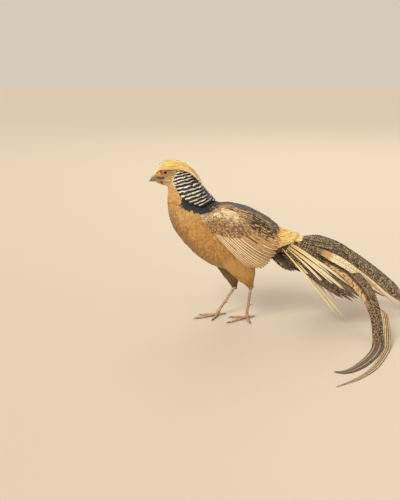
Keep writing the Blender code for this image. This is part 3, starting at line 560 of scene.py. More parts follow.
BUFF_LIGHT = (0.810, 0.660, 0.400)
BUFF = (0.715, 0.540, 0.290)
BUFF_DEEP = (0.565, 0.390, 0.195)
BELLY_TAN = (0.695, 0.525, 0.285)
VENT_BROWN = (0.300, 0.205, 0.125)
MANTLE_DARK = (0.105, 0.110, 0.110)
RUMP_PALE = (0.980, 0.860, 0.585)
RUMP_GOLD = (0.970, 0.810, 0.480)
# The edge of the dark mantle: how far round it reaches at each row.
MANTLE_ROWS = (7.7, 8.0, 8.3, 8.7, 9.1, 9.5, 10.0, 10.4, 11.0, 11.6)
MANTLE_TURNS = (40, 96, 110, 105, 94, 84, 76, 70, 60, 50)
# The edge of the striped cape: how far round it reaches at each row.
CAPE_ROWS = (4.3, 4.7, 5.03, 6.57, 7.44, 8.13, 9.20, 9.35, 9.45)
CAPE_TURNS = (56, 82, 104, 104, 98, 89, 59, 25, 0)


def soft_step(value, low, high):
    part = np.clip((value - low) / (high - low), 0, 1)
    return part * part * (3 - 2 * part)


def body_colours(rows, turns):
    """The colour of the body feathers at each place, with a painted highlight round the upper breast and
    painted shade under the breast, before they vary one by one.
    """
    far = np.abs(turns)
    colour = blend_colours(BUFF_LIGHT, BUFF, soft_step(rows, 6.0, 9.5))
    # A lighter band round the upper breast and shoulder, except underneath: painted highlight.
    colour = blend_colours(colour, BUFF_LIGHT, 0.45 * soft_step(-np.abs(rows - 9.6), -1.6, 0) * (far < 130))
    # Darker under the breast, where it faces down: painted shade.
    colour = blend_colours(colour, BUFF_DEEP, 0.85 * soft_step(far, 115, 160) * soft_step(rows, 8.0, 10.0))
    colour = blend_colours(colour, BELLY_TAN, soft_step(rows, 11.0, 13.5))
    colour = blend_colours(colour, BUFF_DEEP, 0.7 * soft_step(rows, 13.6, 15.6))
    vent = soft_step(rows, 13.7, 14.5) * soft_step(far, 62, 78) * soft_step(-far, -165, -145)
    colour = blend_colours(colour, VENT_BROWN, vent)
    rump = soft_step(rows, 13.2, 13.8) * soft_step(-far, -78, -66)
    colour = blend_colours(colour, blend_colours(RUMP_GOLD, RUMP_PALE, soft_step(rows, 14.0, 15.4)), rump)
    edge = np.interp(rows, MANTLE_ROWS, MANTLE_TURNS, left=-20.0)
    inside = soft_step(edge - far, -3, 3) * (rows < 12.9)
    return blend_colours(colour, MANTLE_DARK, inside)


def along_spine(values, shares, wanted):
    """Read points given at shares of each spine at other shares of it, past its end too."""
    place = np.clip(np.searchsorted(shares, wanted, side="right") - 1, 0, len(shares) - 2)
    part = ((wanted - shares[place]) / (shares[place + 1] - shares[place]))[..., None]
    number = np.arange(len(values))[:, None]
    return values[number, place] * (1 - part) + values[number, place + 1] * part


FRINGE_FAN = np.linspace(-1, 1, 5)
FRINGE_SHARES = np.array((0.42, 0.80, 1.0))
FRINGE_SPREAD = np.array((0.50, 0.86, 1.05))
FRINGE_LIFT = np.array((0.0001, 0.0004, 0.0001))
FRINGE_OUTLINE = np.array((0.7, 1.0, 0.12))


def fringe(spots, sides, ups, wide, colour, patches):
    """The loose tufts of barbs that each feather's vane ends in, spread like the ribs of a fan."""
    number, count = len(spots), len(FRINGE_FAN)
    spread = (FRINGE_FAN + draw.normal(0, 0.10, (number, count))).ravel()
    take = np.repeat(np.arange(number), count)
    ends = 1.08 - 0.20 * spread ** 2 + draw.normal(0, 0.05, len(take))
    wanted = ends[:, None] * FRINGE_SHARES
    side = along_spine(sides[take], SMALL_SHARES, wanted)
    up = along_spine(ups[take], SMALL_SHARES, wanted)
    spine = along_spine(spots[take], SMALL_SHARES, wanted)
    out = spread[:, None] * wide[take][:, None] * FRINGE_SPREAD
    dip = -0.12 * np.abs(out) * np.abs(spread[:, None]) + FRINGE_LIFT
    spine = spine + side * out[..., None] + up * dip[..., None]
    half = (wide[take] * draw.uniform(0.20, 0.30, len(take)))[:, None] * FRINGE_OUTLINE
    shade = draw.normal(1.0, 0.035, len(take))[:, None]
    strands = stripe_of_steps(colour[take] * shade * 0.93, colour[take] * shade * 1.05, FRINGE_SHARES)
    patch, size = patches
    return spine, side, up, half, strands, (patch[take][:, :len(FRINGE_SHARES) - 1], size)


def show_coat(name, spots, sides, ups, wide, colours, tips, patches, finish, slot, outer=None):
    """A coat of small feathers and, as a piece of its own, the loose tufts that they end in."""
    half_widths = wide[:, None] * SMALL_OUTLINE
    mesh = feather_mesh(name, spots, sides, ups, half_widths, colours, patches, outer=outer)
    show(name, mesh, finish, slot)
    name = name + "_fringe"
    tufts = fringe(spots, sides, ups, wide, tips, patches)
    show(name, feather_mesh(name, *tufts, thickness=FRINGE_THICKNESS), finish, slot)


# Rows of the body at which each coat begins, the rows between which they grow, the space between
# two roots and, at some rows, the length of the feathers.
COATS = (("neck_coat", 0.0), ("breast_coat", 9.2), ("belly_coat", 11.6), ("vent_coat", 13.4))
COAT_START = 4.75
COAT_END = 16.6
COAT_SPACING = 0.0042
COAT_LENGTH_ROWS = (4.7, 7.0, 10.0, 13.5, 16.6)
COAT_LENGTHS = (0.008, 0.011, 0.016, 0.020, 0.024)
# Nothing grows in the middle of the back under the cape before this row, nor here under the wings.
UNDER_CAPE_END = 8.7
UNDER_WING_ROWS = (11.2, 13.0)
UNDER_WING_REACH = 78


def make_body_coat():
    rows, turns = scatter(COAT_START, COAT_END, COAT_SPACING)
    far = np.abs(turns)
    under_cape = far < np.interp(rows + 0.9, CAPE_ROWS, CAPE_TURNS, right=0) - 14
    under_wing = (rows > UNDER_WING_ROWS[0]) & (rows < UNDER_WING_ROWS[1]) & (far < UNDER_WING_REACH)
    kept = ~(under_cape & (rows < UNDER_CAPE_END)) & ~under_wing
    rows, turns, far = rows[kept], turns[kept], far[kept]
    number = len(rows)
    lengths = np.interp(rows, COAT_LENGTH_ROWS, COAT_LENGTHS) * draw.uniform(0.85, 1.15, number)
    heights = -np.interp(rows, SKIN_ROWS, SKIN_DEPTHS)[:, None] * (1.15 - SMALL_SHARES ** 0.8)
    heights = heights + (SMALL_SHARES ** 1.5) * draw.uniform(-0.0003, 0.0007, number)[:, None]
    along = run_along(rows, turns, lengths, SMALL_SHARES)
    round_it = turns[:, None] + draw.normal(0, 2.0, number)[:, None] * SMALL_SHARES
    spots, sides, ups, sign = lay_on(over_body, along, round_it, heights,
                                     twist=draw.normal(0, 0.08, number))
    wide = (0.0021 + 0.12 * lengths) * draw.uniform(0.85, 1.15, number)
    colour = body_colours(along[:, -1], turns)
    dark = colour.mean(-1) < 0.3
    vary = draw.normal(1.0, 0.045, number)[:, None]
    root = colour * vary * np.where(dark, 0.85, 0.88)[:, None]
    tip = np.where(dark[:, None], colour * vary * 1.25, colour * vary * 1.02)
    colours = stripe_of_steps(root, tip, SMALL_SHARES)
    patches, size = tuft_patches(rows, turns, len(SMALL_SHARES))
    finish = feather_finish("body_plumage")
    begins = [begin for _, begin in COATS] + [BODY_END]
    for (name, low), high in zip(COATS, begins[1:]):
        mask = (rows >= low) & (rows < high)
        parts = (part[mask] for part in (spots, sides, ups, wide, colours, tip))
        show_coat(name, *parts, (patches[mask], size), finish, "breast", sign[mask])


THIGH_LINES = np.arange(-0.10, 0.93, 0.040)
THIGH_SPACING = 0.0036
THIGH_TURN = 5.4
# How light each thigh's feathers are painted: the right one darker, as painted shade, as it looks in the
# photograph, and the left one a little lighter, as painted light.
THIGH_PAINTED_SHADES = {"left": 1.07, "right": 0.70}


def make_thigh_coats():
    finish = feather_finish("thigh_plumage")
    for side, shade in THIGH_PAINTED_SHADES.items():
        rows, turns = [], []
        for line, row in enumerate(THIGH_LINES):
            count = round(float(np.interp(row, THIGH_SHARES, THIGH_RADII) * THIGH_TURN / THIGH_SPACING))
            turns.append(staggered(count, line) * 360)
            rows.append(row + draw.uniform(-0.02, 0.02, count))
        rows, turns = np.concatenate(rows), np.concatenate(turns)
        number = len(rows)
        slimmer = 1 - 0.45 * np.clip(rows, 0, 1)
        lengths = draw.uniform(0.20, 0.27, number) * slimmer
        along = rows[:, None] + lengths[:, None] * SMALL_SHARES
        heights = -THIGH_SKIN_DEPTH * (1.1 - SMALL_SHARES) + 0.0006 * SMALL_SHARES ** 1.3
        spots, sides, ups, _ = lay_on(thigh_surface(side), along, turns[:, None] + 0 * SMALL_SHARES,
                                      heights + np.zeros((number, 1)), twist=draw.normal(0, 0.1, number))
        wide = 0.0030 * draw.uniform(0.8, 1.15, number) * slimmer
        # The shade scales the thigh's colour: painted shade on the right thigh, painted light on the left.
        base = blend_colours(BELLY_TAN, BUFF_DEEP, soft_step(rows, 0.3, 1.0)) * shade
        vary = draw.normal(1.0, 0.05, number)[:, None]
        tip = base * vary * 1.03
        colours = stripe_of_steps(base * vary * 0.88, tip, SMALL_SHARES)
        patches = tuft_patches(np.clip(rows, 0, 1) * 16, turns % 360 - 180, len(SMALL_SHARES))
        show_coat("thigh_coat_" + side, spots, sides, ups, wide, colours, tip, patches, finish, "thigh")


FLANK_TIPS = (0.03, 0.66)
FLANK_COVERS = 460
FLANK_HALF_WIDTHS = (0.0034, 0.0046)
FLANK_BOW = 0.0034
FLANK_RISE = (-0.010, -0.004, 0.030)
# Each side: the sign of its turns, the turn of the thigh's outer side, and its shade, which is painted light
# and shade: the right side's feathers are painted darker, as painted shade, and the left's a little lighter,
# as painted light.
FLANK_SIDES = (("left", 1.0, 0.0, 1.04), ("right", -1.0, 180.0, 0.72))


def make_flank_covers():
    """Long soft feathers that hang from the flanks over the tops of the thighs."""
    finish = feather_finish("flank_plumage")
    rows, turns = grid(np.arange(11.5, 15.0, 0.05), np.arange(70.0, 150.0, 1.0))
    for side, sign, outer_turn, shade in FLANK_SIDES:
        flank, out = (part.reshape(-1, 3) for part in over_body(rows, turns * sign, -0.0014))
        share = draw.uniform(*FLANK_TIPS, FLANK_COVERS)
        around = outer_turn + draw.uniform(-100, 95, FLANK_COVERS)
        tips, tip_out = thigh_surface(side)(share, around, 0.0016)
        above = tips + np.array(FLANK_RISE) * (1, sign, 1)
        nearest = np.linalg.norm(flank[None] - above[:, None], axis=-1).argmin(1)
        part = SMALL_SHARES[None, :, None]
        spots = flank[nearest][:, None] * (1 - part) + tips[:, None] * part
        ups = unit(out[nearest][:, None] * (1 - part) + tip_out[:, None] * part)
        spots = spots + ups * (FLANK_BOW * np.sin(part * math.pi))
        way = np.gradient(spots, axis=1)
        sides = unit(np.cross(ups, unit(way)))
        ups = unit(np.cross(way, sides))
        wide = draw.uniform(*FLANK_HALF_WIDTHS, FLANK_COVERS)
        # The shade paints the right side's feathers darker as painted shade and the left's a little lighter
        # as painted light.
        tip = np.array(BELLY_TAN) * shade * draw.normal(1.0, 0.04, FLANK_COVERS)[:, None]
        colours = stripe_of_steps(tip * 0.9, tip, SMALL_SHARES)
        patches = tuft_patches(rows.ravel()[nearest], turns.ravel()[nearest] * sign, len(SMALL_SHARES))
        show_coat("flank_covers_" + side, spots, sides, ups, wide, colours, tip, patches, finish, "thigh")


make_body_coat()
make_thigh_coats()
make_flank_covers()

# The face: very short straw-coloured feathers like fine hair, rooted close together and laid back
# from the bill. They are brown round the eye and before it, greyish behind it and pale on the cheek,
# and leave a bare ring round the eye.
FACE_START = 0.05
FACE_END = 5.4
FACE_SPACING = 0.00135
FACE_LENGTH_ROWS = (0, 1.5, 3, 5.3)
FACE_LENGTHS = (0.0022, 0.0036, 0.0052, 0.0085)
FACE_SHARES = np.array((0.0, 0.5, 1.0))
FACE_STRAW = (0.900, 0.770, 0.480)
FACE_TAN = (0.800, 0.640, 0.400)
FACE_THROAT = (0.850, 0.690, 0.440)
BARE_RING = 0.0058
FACE_OUTLINE = np.array((0.7, 1.0, 0.15))
# Marks on the face: their middle seen from the side, their half length and height, their colour and
# how strong they are.
FACE_MARKS = (
    ((-0.1480, 0.3366), (0.0095, 0.0085), (0.690, 0.520, 0.350), 0.75),
    ((-0.1350, 0.3357), (0.0075, 0.0052), (0.640, 0.560, 0.430), 0.85),
    ((-0.1352, 0.3209), (0.0042, 0.0090), (0.980, 0.870, 0.740), 0.90),
    ((-0.1255, 0.3395), (0.0048, 0.0048), (0.900, 0.850, 0.700), 0.80),
    ((-0.1480, 0.3210), (0.0055, 0.0036), (0.950, 0.820, 0.570), 0.80),
    ((-0.1487, 0.3100), (0.0075, 0.0030), (0.960, 0.840, 0.600), 0.80),
    ((-0.1638, 0.3319), (0.0042, 0.0046), (0.960, 0.760, 0.420), 0.80),
    ((-0.1515, 0.3430), (0.0085, 0.0017), (0.400, 0.250, 0.150), 0.80),
    ((-0.1588, 0.3357), (0.0024, 0.0044), (0.430, 0.260, 0.150), 0.80),
    ((-0.1612, 0.3238), (0.0080, 0.0020), (0.270, 0.160, 0.100), 0.95),
    ((-0.1585, 0.3145), (0.0032, 0.0026), (0.420, 0.270, 0.160), 0.85),
)


def make_face():
    rows, turns = scatter(FACE_START, FACE_END, FACE_SPACING)
    spot, _ = over_body(rows, turns, np.zeros(len(rows)))
    eyes = np.array([np.array(EYE_PLACE) * (1, way, 1) + SHIFT for way in (-1, 1)])
    away = np.linalg.norm(spot[:, None, ::2] - eyes[None, :, ::2], axis=-1)
    near = np.where(spot[:, 1] < SHIFT[1], away[:, 0], away[:, 1])
    flank = np.abs(np.sin(np.radians(turns))) > 0.3
    covered = (np.abs(turns) < 26) & (rows > 1.2)
    kept = ~((near < BARE_RING) & flank) & ~covered
    rows, turns, spot = rows[kept], turns[kept], spot[kept] - SHIFT
    number = len(rows)
    far = np.abs(turns)
    lengths = np.interp(rows, FACE_LENGTH_ROWS, FACE_LENGTHS) * draw.uniform(0.8, 1.2, number)
    along = run_along(rows, turns, lengths, FACE_SHARES)
    skin = np.interp(rows, SKIN_ROWS, SKIN_DEPTHS)
    heights = -skin[:, None] * (1.1 - 0.9 * FACE_SHARES) + 0.0005 * FACE_SHARES
    heights = heights + draw.uniform(-0.0002, 0.0003, number)[:, None] * FACE_SHARES
    swing = draw.normal(0, 4.0, number)[:, None] * FACE_SHARES
    spots, sides, ups, sign = lay_on(over_body, along, turns[:, None] + swing, heights,
                                     twist=draw.normal(0, 0.15, number))
    wide = (0.00025 + lengths * 0.10) * draw.uniform(0.85, 1.15, number)
    colour = blend_colours(FACE_STRAW, FACE_TAN, soft_step(far, 50, 80))
    colour = blend_colours(colour, FACE_THROAT, soft_step(far, 110, 150))
    colour = blend_colours(colour, BUFF_LIGHT, soft_step(rows, 4.2, 5.4))
    for (x, z), (half_x, half_z), mark, strength in FACE_MARKS:
        share = np.exp(-((spot[:, 0] - x) / half_x) ** 4 - ((spot[:, 2] - z) / half_z) ** 4)
        colour = blend_colours(colour, mark, share * strength * (far > 25) * (far < 160))
    vary = draw.normal(1.0, 0.06, number)[:, None]
    colours = stripe_of_steps(colour * vary * 0.88, colour * vary * 1.03, FACE_SHARES)
    mesh = feather_mesh("face_coat", spots, sides, ups, wide[:, None] * FACE_OUTLINE, colours,
                        tuft_patches(rows, turns, len(FACE_SHARES)), outer=sign, thickness=0.0002)
    show("face_coat", mesh, feather_finish("face_plumage", depth=0.0001, streak=0.15), "face")


make_face()

# The crest: long silky hair-like feathers, pale lemon over the forehead and golden behind, that start
# on the forehead and crown, rise a little and fall back over the nape in a loose narrow fringe. At
# each of these rows they reach so high over the head and so far round it.
CREST_ROWS = (0.2, 0.8, 1.4, 2.2, 3.2, 4.2, 5.0, 6.0, 8.6)
CREST_HEIGHTS = (0.0034, 0.0066, 0.0084, 0.0090, 0.0092, 0.0100, 0.0114, 0.0122, 0.0095)
CREST_REACH = (44.0, 46.0, 47.0, 48.0, 53.0, 46.0, 33.0, 22.0, 13.0)
CREST_SHARES = np.linspace(0, 1, 9)
CREST_OUTLINE = np.array((0.50, 0.85, 1.0, 1.0, 0.92, 0.8, 0.60, 0.36, 0.05))
CREST_ROOT = -0.0010
CREST_END = 8.6
CREST_NUMBER = 2600
CREST_LEMON = (1.000, 0.960, 0.810)
CREST_GOLD = (1.000, 0.880, 0.560)
CREST_AMBER = (1.000, 0.800, 0.440)
CREST_FRINGE = (1.000, 0.895, 0.670)
# How far the cape under the crest's end swells at each of these rows.
CAPE_SWELL_ROWS = (4.3, 6.0, 8.0, 9.0, 9.6, 10.0)
CAPE_SWELL = (0.0012, 0.0045, 0.0062, 0.0066, 0.0015, 0.0)


def cape_height(rows, turns):
    """How far the striped cape stands over the neck."""
    return np.interp(rows, CAPE_SWELL_ROWS, CAPE_SWELL) * np.clip((112 - np.abs(turns)) / 34, 0, 1)


def make_crest():
    number = CREST_NUMBER
    first = 0.15 + 3.7 * draw.random(number) ** 1.1
    across = draw.uniform(-1.0, 1.0, number)
    across = np.sign(across) * np.abs(across) ** 0.85
    run = draw.uniform(2.2, 4.8, number) * (1 - 0.25 * np.abs(across))
    last = np.minimum(first + run, CREST_END - 2.2 * draw.random(number) ** 0.6)
    rows = first[:, None] + (last - first)[:, None] * CREST_SHARES
    loose = np.interp(rows, (2.6, 4.5), (0.05, 0.13))
    ragged = 1 + loose * draw.normal(0, 1, number)[:, None] * CREST_SHARES
    turns = across[:, None] * np.interp(rows, CREST_ROWS, CREST_REACH) * ragged
    layer = draw.uniform(0.45, 1.0, number)[:, None]
    tall = np.interp(rows, CREST_ROWS, CREST_HEIGHTS) * (1 - 0.50 * across[:, None] ** 2) * layer
    rise = np.sin(CREST_SHARES * math.pi / 2) ** 0.6
    heights = -0.0008 + (tall + 0.0008) * rise
    clear = cape_height(rows, turns) + 0.0010 + 0.0030 * layer
    heights = np.where(rows > 4.6, np.maximum(heights, clear), heights)
    heights[:, 0] = CREST_ROOT
    heights = heights + 0.0012 * draw.random((number, 1)) * CREST_SHARES ** 3
    spots, sides, ups, sign = lay_on(over_body, rows, turns, heights, twist=draw.normal(0, 0.35, number))
    sway = draw.normal(0, 0.0008, (number, 1)) * np.sin(CREST_SHARES * math.pi)
    spots = spots + sides * sway[..., None]
    half_widths = draw.uniform(0.00045, 0.00095, number)[:, None] * CREST_OUTLINE
    colour = blend_colours(CREST_LEMON, CREST_GOLD, soft_step(rows, 1.6, 3.8))
    edge = soft_step(np.abs(across), 0.45, 0.85)[:, None] * soft_step(rows, 1.4, 2.4)
    colour = blend_colours(colour, CREST_AMBER, edge * 0.7)
    colour = blend_colours(colour, CREST_FRINGE, soft_step(rows, 4.4, 6.2) * 0.9)
    colour = colour * draw.normal(1.0, 0.05, number)[:, None, None]
    mesh = feather_mesh("crest", spots, sides, ups, half_widths, both_ends(colour),
                        tuft_patches(rows[:, 0], turns[:, 0], len(CREST_SHARES)), thickness=0.0003,
                        crown=0.3, outer=sign)
    finish = feather_finish("crest_silk", roughness=0.42, barbs=3.0, streak=0.12, sheen=0.4)
    show("crest", mesh, finish, "face")


make_crest()

# The cape: square-ended cream feathers in rows down the neck, each with blue-black bars, so that the
# bars of one row join into lines that curve round the neck. It is rooted behind the crest.
# Each stripe has its row at the middle of the back, and its ends run so far forward down the sides.
STRIPE_ROWS = (4.50, 4.82, 5.14, 5.46, 5.78, 6.10, 6.40, 6.73, 7.06,
               7.46, 7.74, 8.03, 8.32, 8.60, 8.88, 9.16, 9.40)
STRIPE_SWEEPS = (3.6, 3.5, 3.2, 2.9, 2.5, 2.0, 1.50, 1.17, 0.87,
                 0.78, 0.52, 0.34, 0.27, 0.23, 0.20, 0.18, 0.16)
BLACK_SHARE = 0.59
CAPE_CREAM = (0.950, 0.915, 0.830)
CAPE_BLACK = (0.050, 0.048, 0.055)
CAPE_STEPS = 8
CAPE_OUTLINE = np.array((0.60, 0.80, 0.92, 1.0, 1.0, 1.0, 0.97, 0.74))
CAPE_COLUMNS = np.array((-1.0, -0.5, 0.0, 0.5, 1.0))
CAPE_HALF_TURN = 7.5
CAPE_REACH = 104
CAPE_SPACING = 5.6
# The cape's front edge: its row at each turn.
CAPE_FRONT_TURNS = (0, 44, 58, 72, 82, 97, 105)
CAPE_FRONT_ROWS = (4.92, 4.87, 4.74, 4.84, 5.02, 5.04, 5.15)
# Along each feather: where each step's end lies, counted in stripes from its tip's, and which steps
# are black.
CAPE_PHASES = np.array((-2.9, -2 - BLACK_SHARE / 2, -2 + BLACK_SHARE / 2, -1 - BLACK_SHARE / 2,
                        -1 + BLACK_SHARE / 2, -BLACK_SHARE / 2, 0.2 * BLACK_SHARE, BLACK_SHARE / 2))
CAPE_BARS = np.array((0, 1, 0, 1, 0, 1, 1))


def stripe_row(phase, turn):
    """The row that a stripe of the cape passes at a turn."""
    numbers = np.arange(len(STRIPE_ROWS))
    row = np.interp(phase, numbers, STRIPE_ROWS)
    sweep = np.interp(phase, numbers, STRIPE_SWEEPS)
    return row - sweep * (np.abs(turn) / 102.0) ** 2.1


def make_cape():
    stripes, turns = [], []
    count = int(2 * CAPE_REACH / CAPE_SPACING)
    for stripe in range(1, len(STRIPE_ROWS)):
        stripes.append(np.full(count, float(stripe)))
        turns.append((2 * staggered(count, stripe, 0.25) - 1) * CAPE_REACH)
    stripes, turns = np.concatenate(stripes), np.concatenate(turns)
    tips = stripe_row(stripes, turns)
    far = np.abs(turns)
    front = np.interp(far, CAPE_FRONT_TURNS, CAPE_FRONT_ROWS)
    kept = (tips > front) & (far < np.interp(tips, CAPE_ROWS, CAPE_TURNS, right=-1.0) - 4.0)
    stripes, turns, front = stripes[kept], turns[kept], front[kept]
    number = len(stripes)
    loose = draw.normal(0, 1, (number, 1)) * np.interp(np.abs(turns), (18, 46), (0.15, 0.06))[:, None]
    loose = loose + draw.normal(0, 0.05, (number, CAPE_STEPS))
    across = CAPE_COLUMNS * CAPE_OUTLINE[:, None]
    half_turns = CAPE_HALF_TURN * draw.uniform(0.9, 1.15, number)
    grid_turns = turns[:, None, None] - half_turns[:, None, None] * across
    round_end = 0.10 * across ** 2 * (CAPE_PHASES > 0)[:, None]
    grid_phases = (stripes[:, None] + CAPE_PHASES + loose)[..., None] - round_end
    grid_rows = np.maximum(stripe_row(grid_phases, grid_turns), front[:, None, None] - 0.35)
    grid_rows = grid_rows + np.arange(CAPE_STEPS)[:, None] * 0.003
    share = ((CAPE_PHASES - CAPE_PHASES[0]) / (CAPE_PHASES[-1] - CAPE_PHASES[0]))[:, None]
    rise = cape_height(grid_rows, grid_turns) * share ** 0.7
    loft = draw.normal(0, 0.0003, number)[:, None, None] * share
    edge = 0.0008 * across ** 2 * draw.uniform(0.5, 1.5, number)[:, None, None]
    heights = -0.0014 * (1 - share) ** 2 + rise + 0.0008 * share + loft - edge
    top, out = over_body(grid_rows, grid_turns, heights)
    spots, ups = top[:, :, 2], out[:, :, 2]
    sides = unit(top[:, :, 4] - top[:, :, 0])
    half_widths = np.linalg.norm(top[:, :, 4] - top[:, :, 0], axis=-1) / 2
    sign = np.where(turns < 0, -1.0, 1.0)
    cream = np.array(CAPE_CREAM) * draw.normal(1.0, 0.02, number)[:, None]
    dark = np.array(CAPE_BLACK) * draw.uniform(0.8, 1.5, number)[:, None]
    step_colours = np.where(CAPE_BARS[None, :, None] > 0, dark[:, None], cream[:, None])
    colours = np.repeat(step_colours[:, :, None], 2, axis=2)
    mesh = feather_mesh("cape", spots, sides, ups, half_widths, colours,
                        tuft_patches(grid_rows[:, 0, 2], turns, CAPE_STEPS, CAPE_BARS), columns=CAPE_COLUMNS,
                        outer=sign, top=top)
    show("cape", mesh, feather_finish("cape_plumage", roughness=0.5, streak=0.10, barbs=16.0), "neck_ruff")


make_cape()

# Each folded wing: rows of coverts over the shoulder, mottled brown and cream and larger towards the
# tail, the dark streaked feathers that lie over the back, and under both the long blades of flight
# feathers, whose pale outer edges show one under the other.
WING_SHARES = np.array((0.0, 0.22, 0.45, 0.66, 0.84, 0.95, 1.0))
COVERT_OUTLINE = np.array((0.55, 0.90, 1.0, 1.0, 0.86, 0.58, 0.22))
BLADE_OUTLINE = np.array((0.60, 0.90, 1.0, 0.95, 0.74, 0.46, 0.16))
WING_COLUMNS = (-1.0, -0.55, -0.08, 0.0, 0.08, 0.55, 1.0)
WING_ROOT_DEPTH = 0.0022


def line_point(line, share):
    """Row and turn at a share of the way along a line of the wing."""
    rows, turns = line
    places = np.linspace(0, 1, len(rows))
    return np.stack([np.interp(share, places, rows), np.interp(share, places, turns)], -1)


def wing_field(tiers, inner, outer, reach, surface, half_width, count):
    """Feathers spread evenly between two lines of the wing, each a little out of its line."""
    rows, turns, heights, halves = [], [], [], []
    for tier in range(tiers):
        share = (np.arange(count) + 0.5 * (tier % 2) + 0.25 + draw.uniform(-0.3, 0.3, count)) / (count + 0.5)
        tip_at = (tier + 1) / tiers + draw.normal(0, 0.022, count)
        tip_at = np.minimum(tip_at, 1.0 + 0.01 * draw.random(count))
        place = tip_at[:, None] - reach * (1 - WING_SHARES) * draw.uniform(0.9, 1.1, count)[:, None]
        near, far = line_point(inner, share), line_point(outer, share)
        spots = near[:, None] + (far - near)[:, None] * place[..., None]
        tall = np.interp(place, np.linspace(0, 1, len(surface)), surface, left=surface[0])
        tall = (tall - WING_ROOT_DEPTH * (1 - WING_SHARES) ** 1.5
                + draw.uniform(-0.0002, 0.0005, (count, 1)) * WING_SHARES)
        rows.append(spots[..., 0])
        turns.append(spots[..., 1])
        heights.append(tall)
        half = np.interp(tip_at, (0, 1), half_width) * draw.uniform(0.9, 1.1, count)
        halves.append(half[:, None])
    return tuple(np.concatenate(kept) for kept in (rows, turns, heights, halves))


def wing_piece(name, feathers, finish, side, tilt, outline, colour, spread, nodes=(), surface=over_body):
    rows, turns, heights, wide = feathers
    sign = 1.0 if side == "left" else -1.0
    number = len(rows)
    base = colour(rows[:, 4], turns[:, 4]) if callable(colour) else np.array(colour) * np.ones((number, 1))
    base = base * draw.normal(1.0, spread, number)[:, None]
    turns = turns * sign
    spots, sides, ups, outer = lay_on(surface, rows, turns, heights, tilt, draw.normal(0, 0.05, number))
    colours = stripe_of_steps(base, base, WING_SHARES)
    mesh = feather_mesh(name, spots, sides, ups, wide * outline, colours,
                        cell_patches(number, len(WING_SHARES)), columns=WING_COLUMNS, crown=0.10,
                        ridge=0.00022, outer=np.full(number, sign))
    show(name, mesh, finish, "wing", *nodes)


def vane_finish(name, pattern, roughness=0.55, barbs=9.0):
    """A large feather: a pattern over its own brown, a pale shaft and fine slanting barbs."""
    finish = Finish(name, roughness, sheen=0.2)
    across, along = finish.uv("span", "X"), finish.uv("span", "Y")
    lot = finish.attribute("lot", "Fac")
    ground = finish.attribute("plumage")
    edge = finish.uv("vane", "X")
    length = finish.uv("vane", "Y")
    colour = pattern(finish, ground, across, along, edge, length, lot)
    shaft = 1 - finish.ramp(abs(edge - 0.5), 0.018, 0.034)
    colour = finish.mix(shaft * 0.6, colour, (0.62, 0.50, 0.36))
    barb = ((along - abs(across) * 1.1) * (barbs * 2 * math.pi)).sine()
    grain = finish.noise(finish.place(), 600.0, 3.0, 0.6)
    finish.paint(finish.shaded(colour, 0.90 + barb * 0.04 + grain * 0.2))
    finish.bump(barb * 0.5 + grain * 0.7 + shaft * 1.5, 0.0003, 0.45)
    return finish


def mottled_covert(finish, ground, across, along, edge, length, lot):
    """Its own brown or cream, streaked along the vane, with a dark arc inside a paler tip."""
    where = finish.point(across * 1.7, along * 0.9, lot * 40)
    streaks = finish.noise(where, 2.4, 3.0, 0.65)
    centre = 1 - finish.ramp(abs(edge - 0.5), 0.04, 0.30)
    dark = finish.ramp(streaks + centre * 0.12, 0.50, 0.64)
    pale = finish.ramp(1 - streaks, 0.52, 0.64)
    colour = finish.mix(dark * 0.75, ground, finish.shaded(ground, 0.40))
    colour = finish.mix(pale * 0.45, colour, (0.950, 0.830, 0.620))
    rounded = length - abs(edge - 0.5) * 0.35 + (streaks - 0.5) * 0.14
    arc = finish.ramp(rounded, 0.60, 0.68) - finish.ramp(rounded, 0.74, 0.82)
    colour = finish.mix(arc * 0.42, colour, finish.shaded(ground, 0.36))
    return finish.mix(finish.ramp(rounded, 0.78, 0.88) * 0.35, colour, (0.900, 0.790, 0.600))


def streaked_back(finish, ground, across, along, edge, length, lot):
    """Dark brown down the middle, with long broken tan streaks on both sides, fewer where darkest."""
    where = finish.point(across, along, lot * 40)
    waver = finish.noise(where, 1.1, 2.0)
    off_shaft = abs(edge - 0.5) + (waver - 0.5) * 0.34
    tan = finish.ramp(off_shaft, 0.13, 0.19) - finish.ramp(off_shaft, 0.38, 0.44)
    stretched = finish.point(across * 1.0, along * 0.42, lot * 40)
    broken = finish.ramp(finish.noise(stretched, 1.5, 2.0), 0.42, 0.52)
    freckle = finish.noise(where, 4.5, 2.0)
    tan_look = finish.mix(finish.ramp(freckle, 0.42, 0.62), (0.880, 0.720, 0.490), (0.700, 0.510, 0.310))
    brown = finish.node("ShaderNodeRGBToBW", inputs={0: ground})
    streaky = finish.ramp(brown, 0.010, 0.022)
    colour = finish.mix(tan * broken * streaky, ground, tan_look)
    return finish.mix(finish.ramp(freckle, 0.60, 0.70) * streaky * 0.35, colour, (0.560, 0.420, 0.270))


def edged_blade(finish, ground, across, along, edge, length, lot):
    """A tan web with a dark streak inside it, finely mottled, and a bright outer edge."""
    where = finish.point(across * 3.0, along * 0.7, lot * 40)
    flecks = finish.noise(where, 3.0, 3.0, 0.6)
    web = finish.mix(finish.ramp(flecks, 0.44, 0.66), (0.810, 0.650, 0.435), (0.630, 0.460, 0.285))
    tan = finish.ramp(edge + flecks * 0.06, 0.16, 0.24)
    line = finish.ramp(edge, 0.76, 0.80) - finish.ramp(edge, 0.84, 0.88)
    bright = finish.ramp(edge + flecks * 0.05, 0.87, 0.93)
    colour = finish.mix(tan, ground, finish.mix(line * 0.75, web, (0.400, 0.275, 0.170)))
    return finish.mix(bright, colour, (0.985, 0.900, 0.730))


COVERT_BROWN = (0.620, 0.455, 0.285)
COVERT_CREAM = (1.000, 0.910, 0.730)
COVERT_ORANGE = (0.760, 0.530, 0.290)
CREAM_LINE = ((10.55, 64.0), (10.9, 54.0), (11.4, 46.0), (12.0, 42.0))


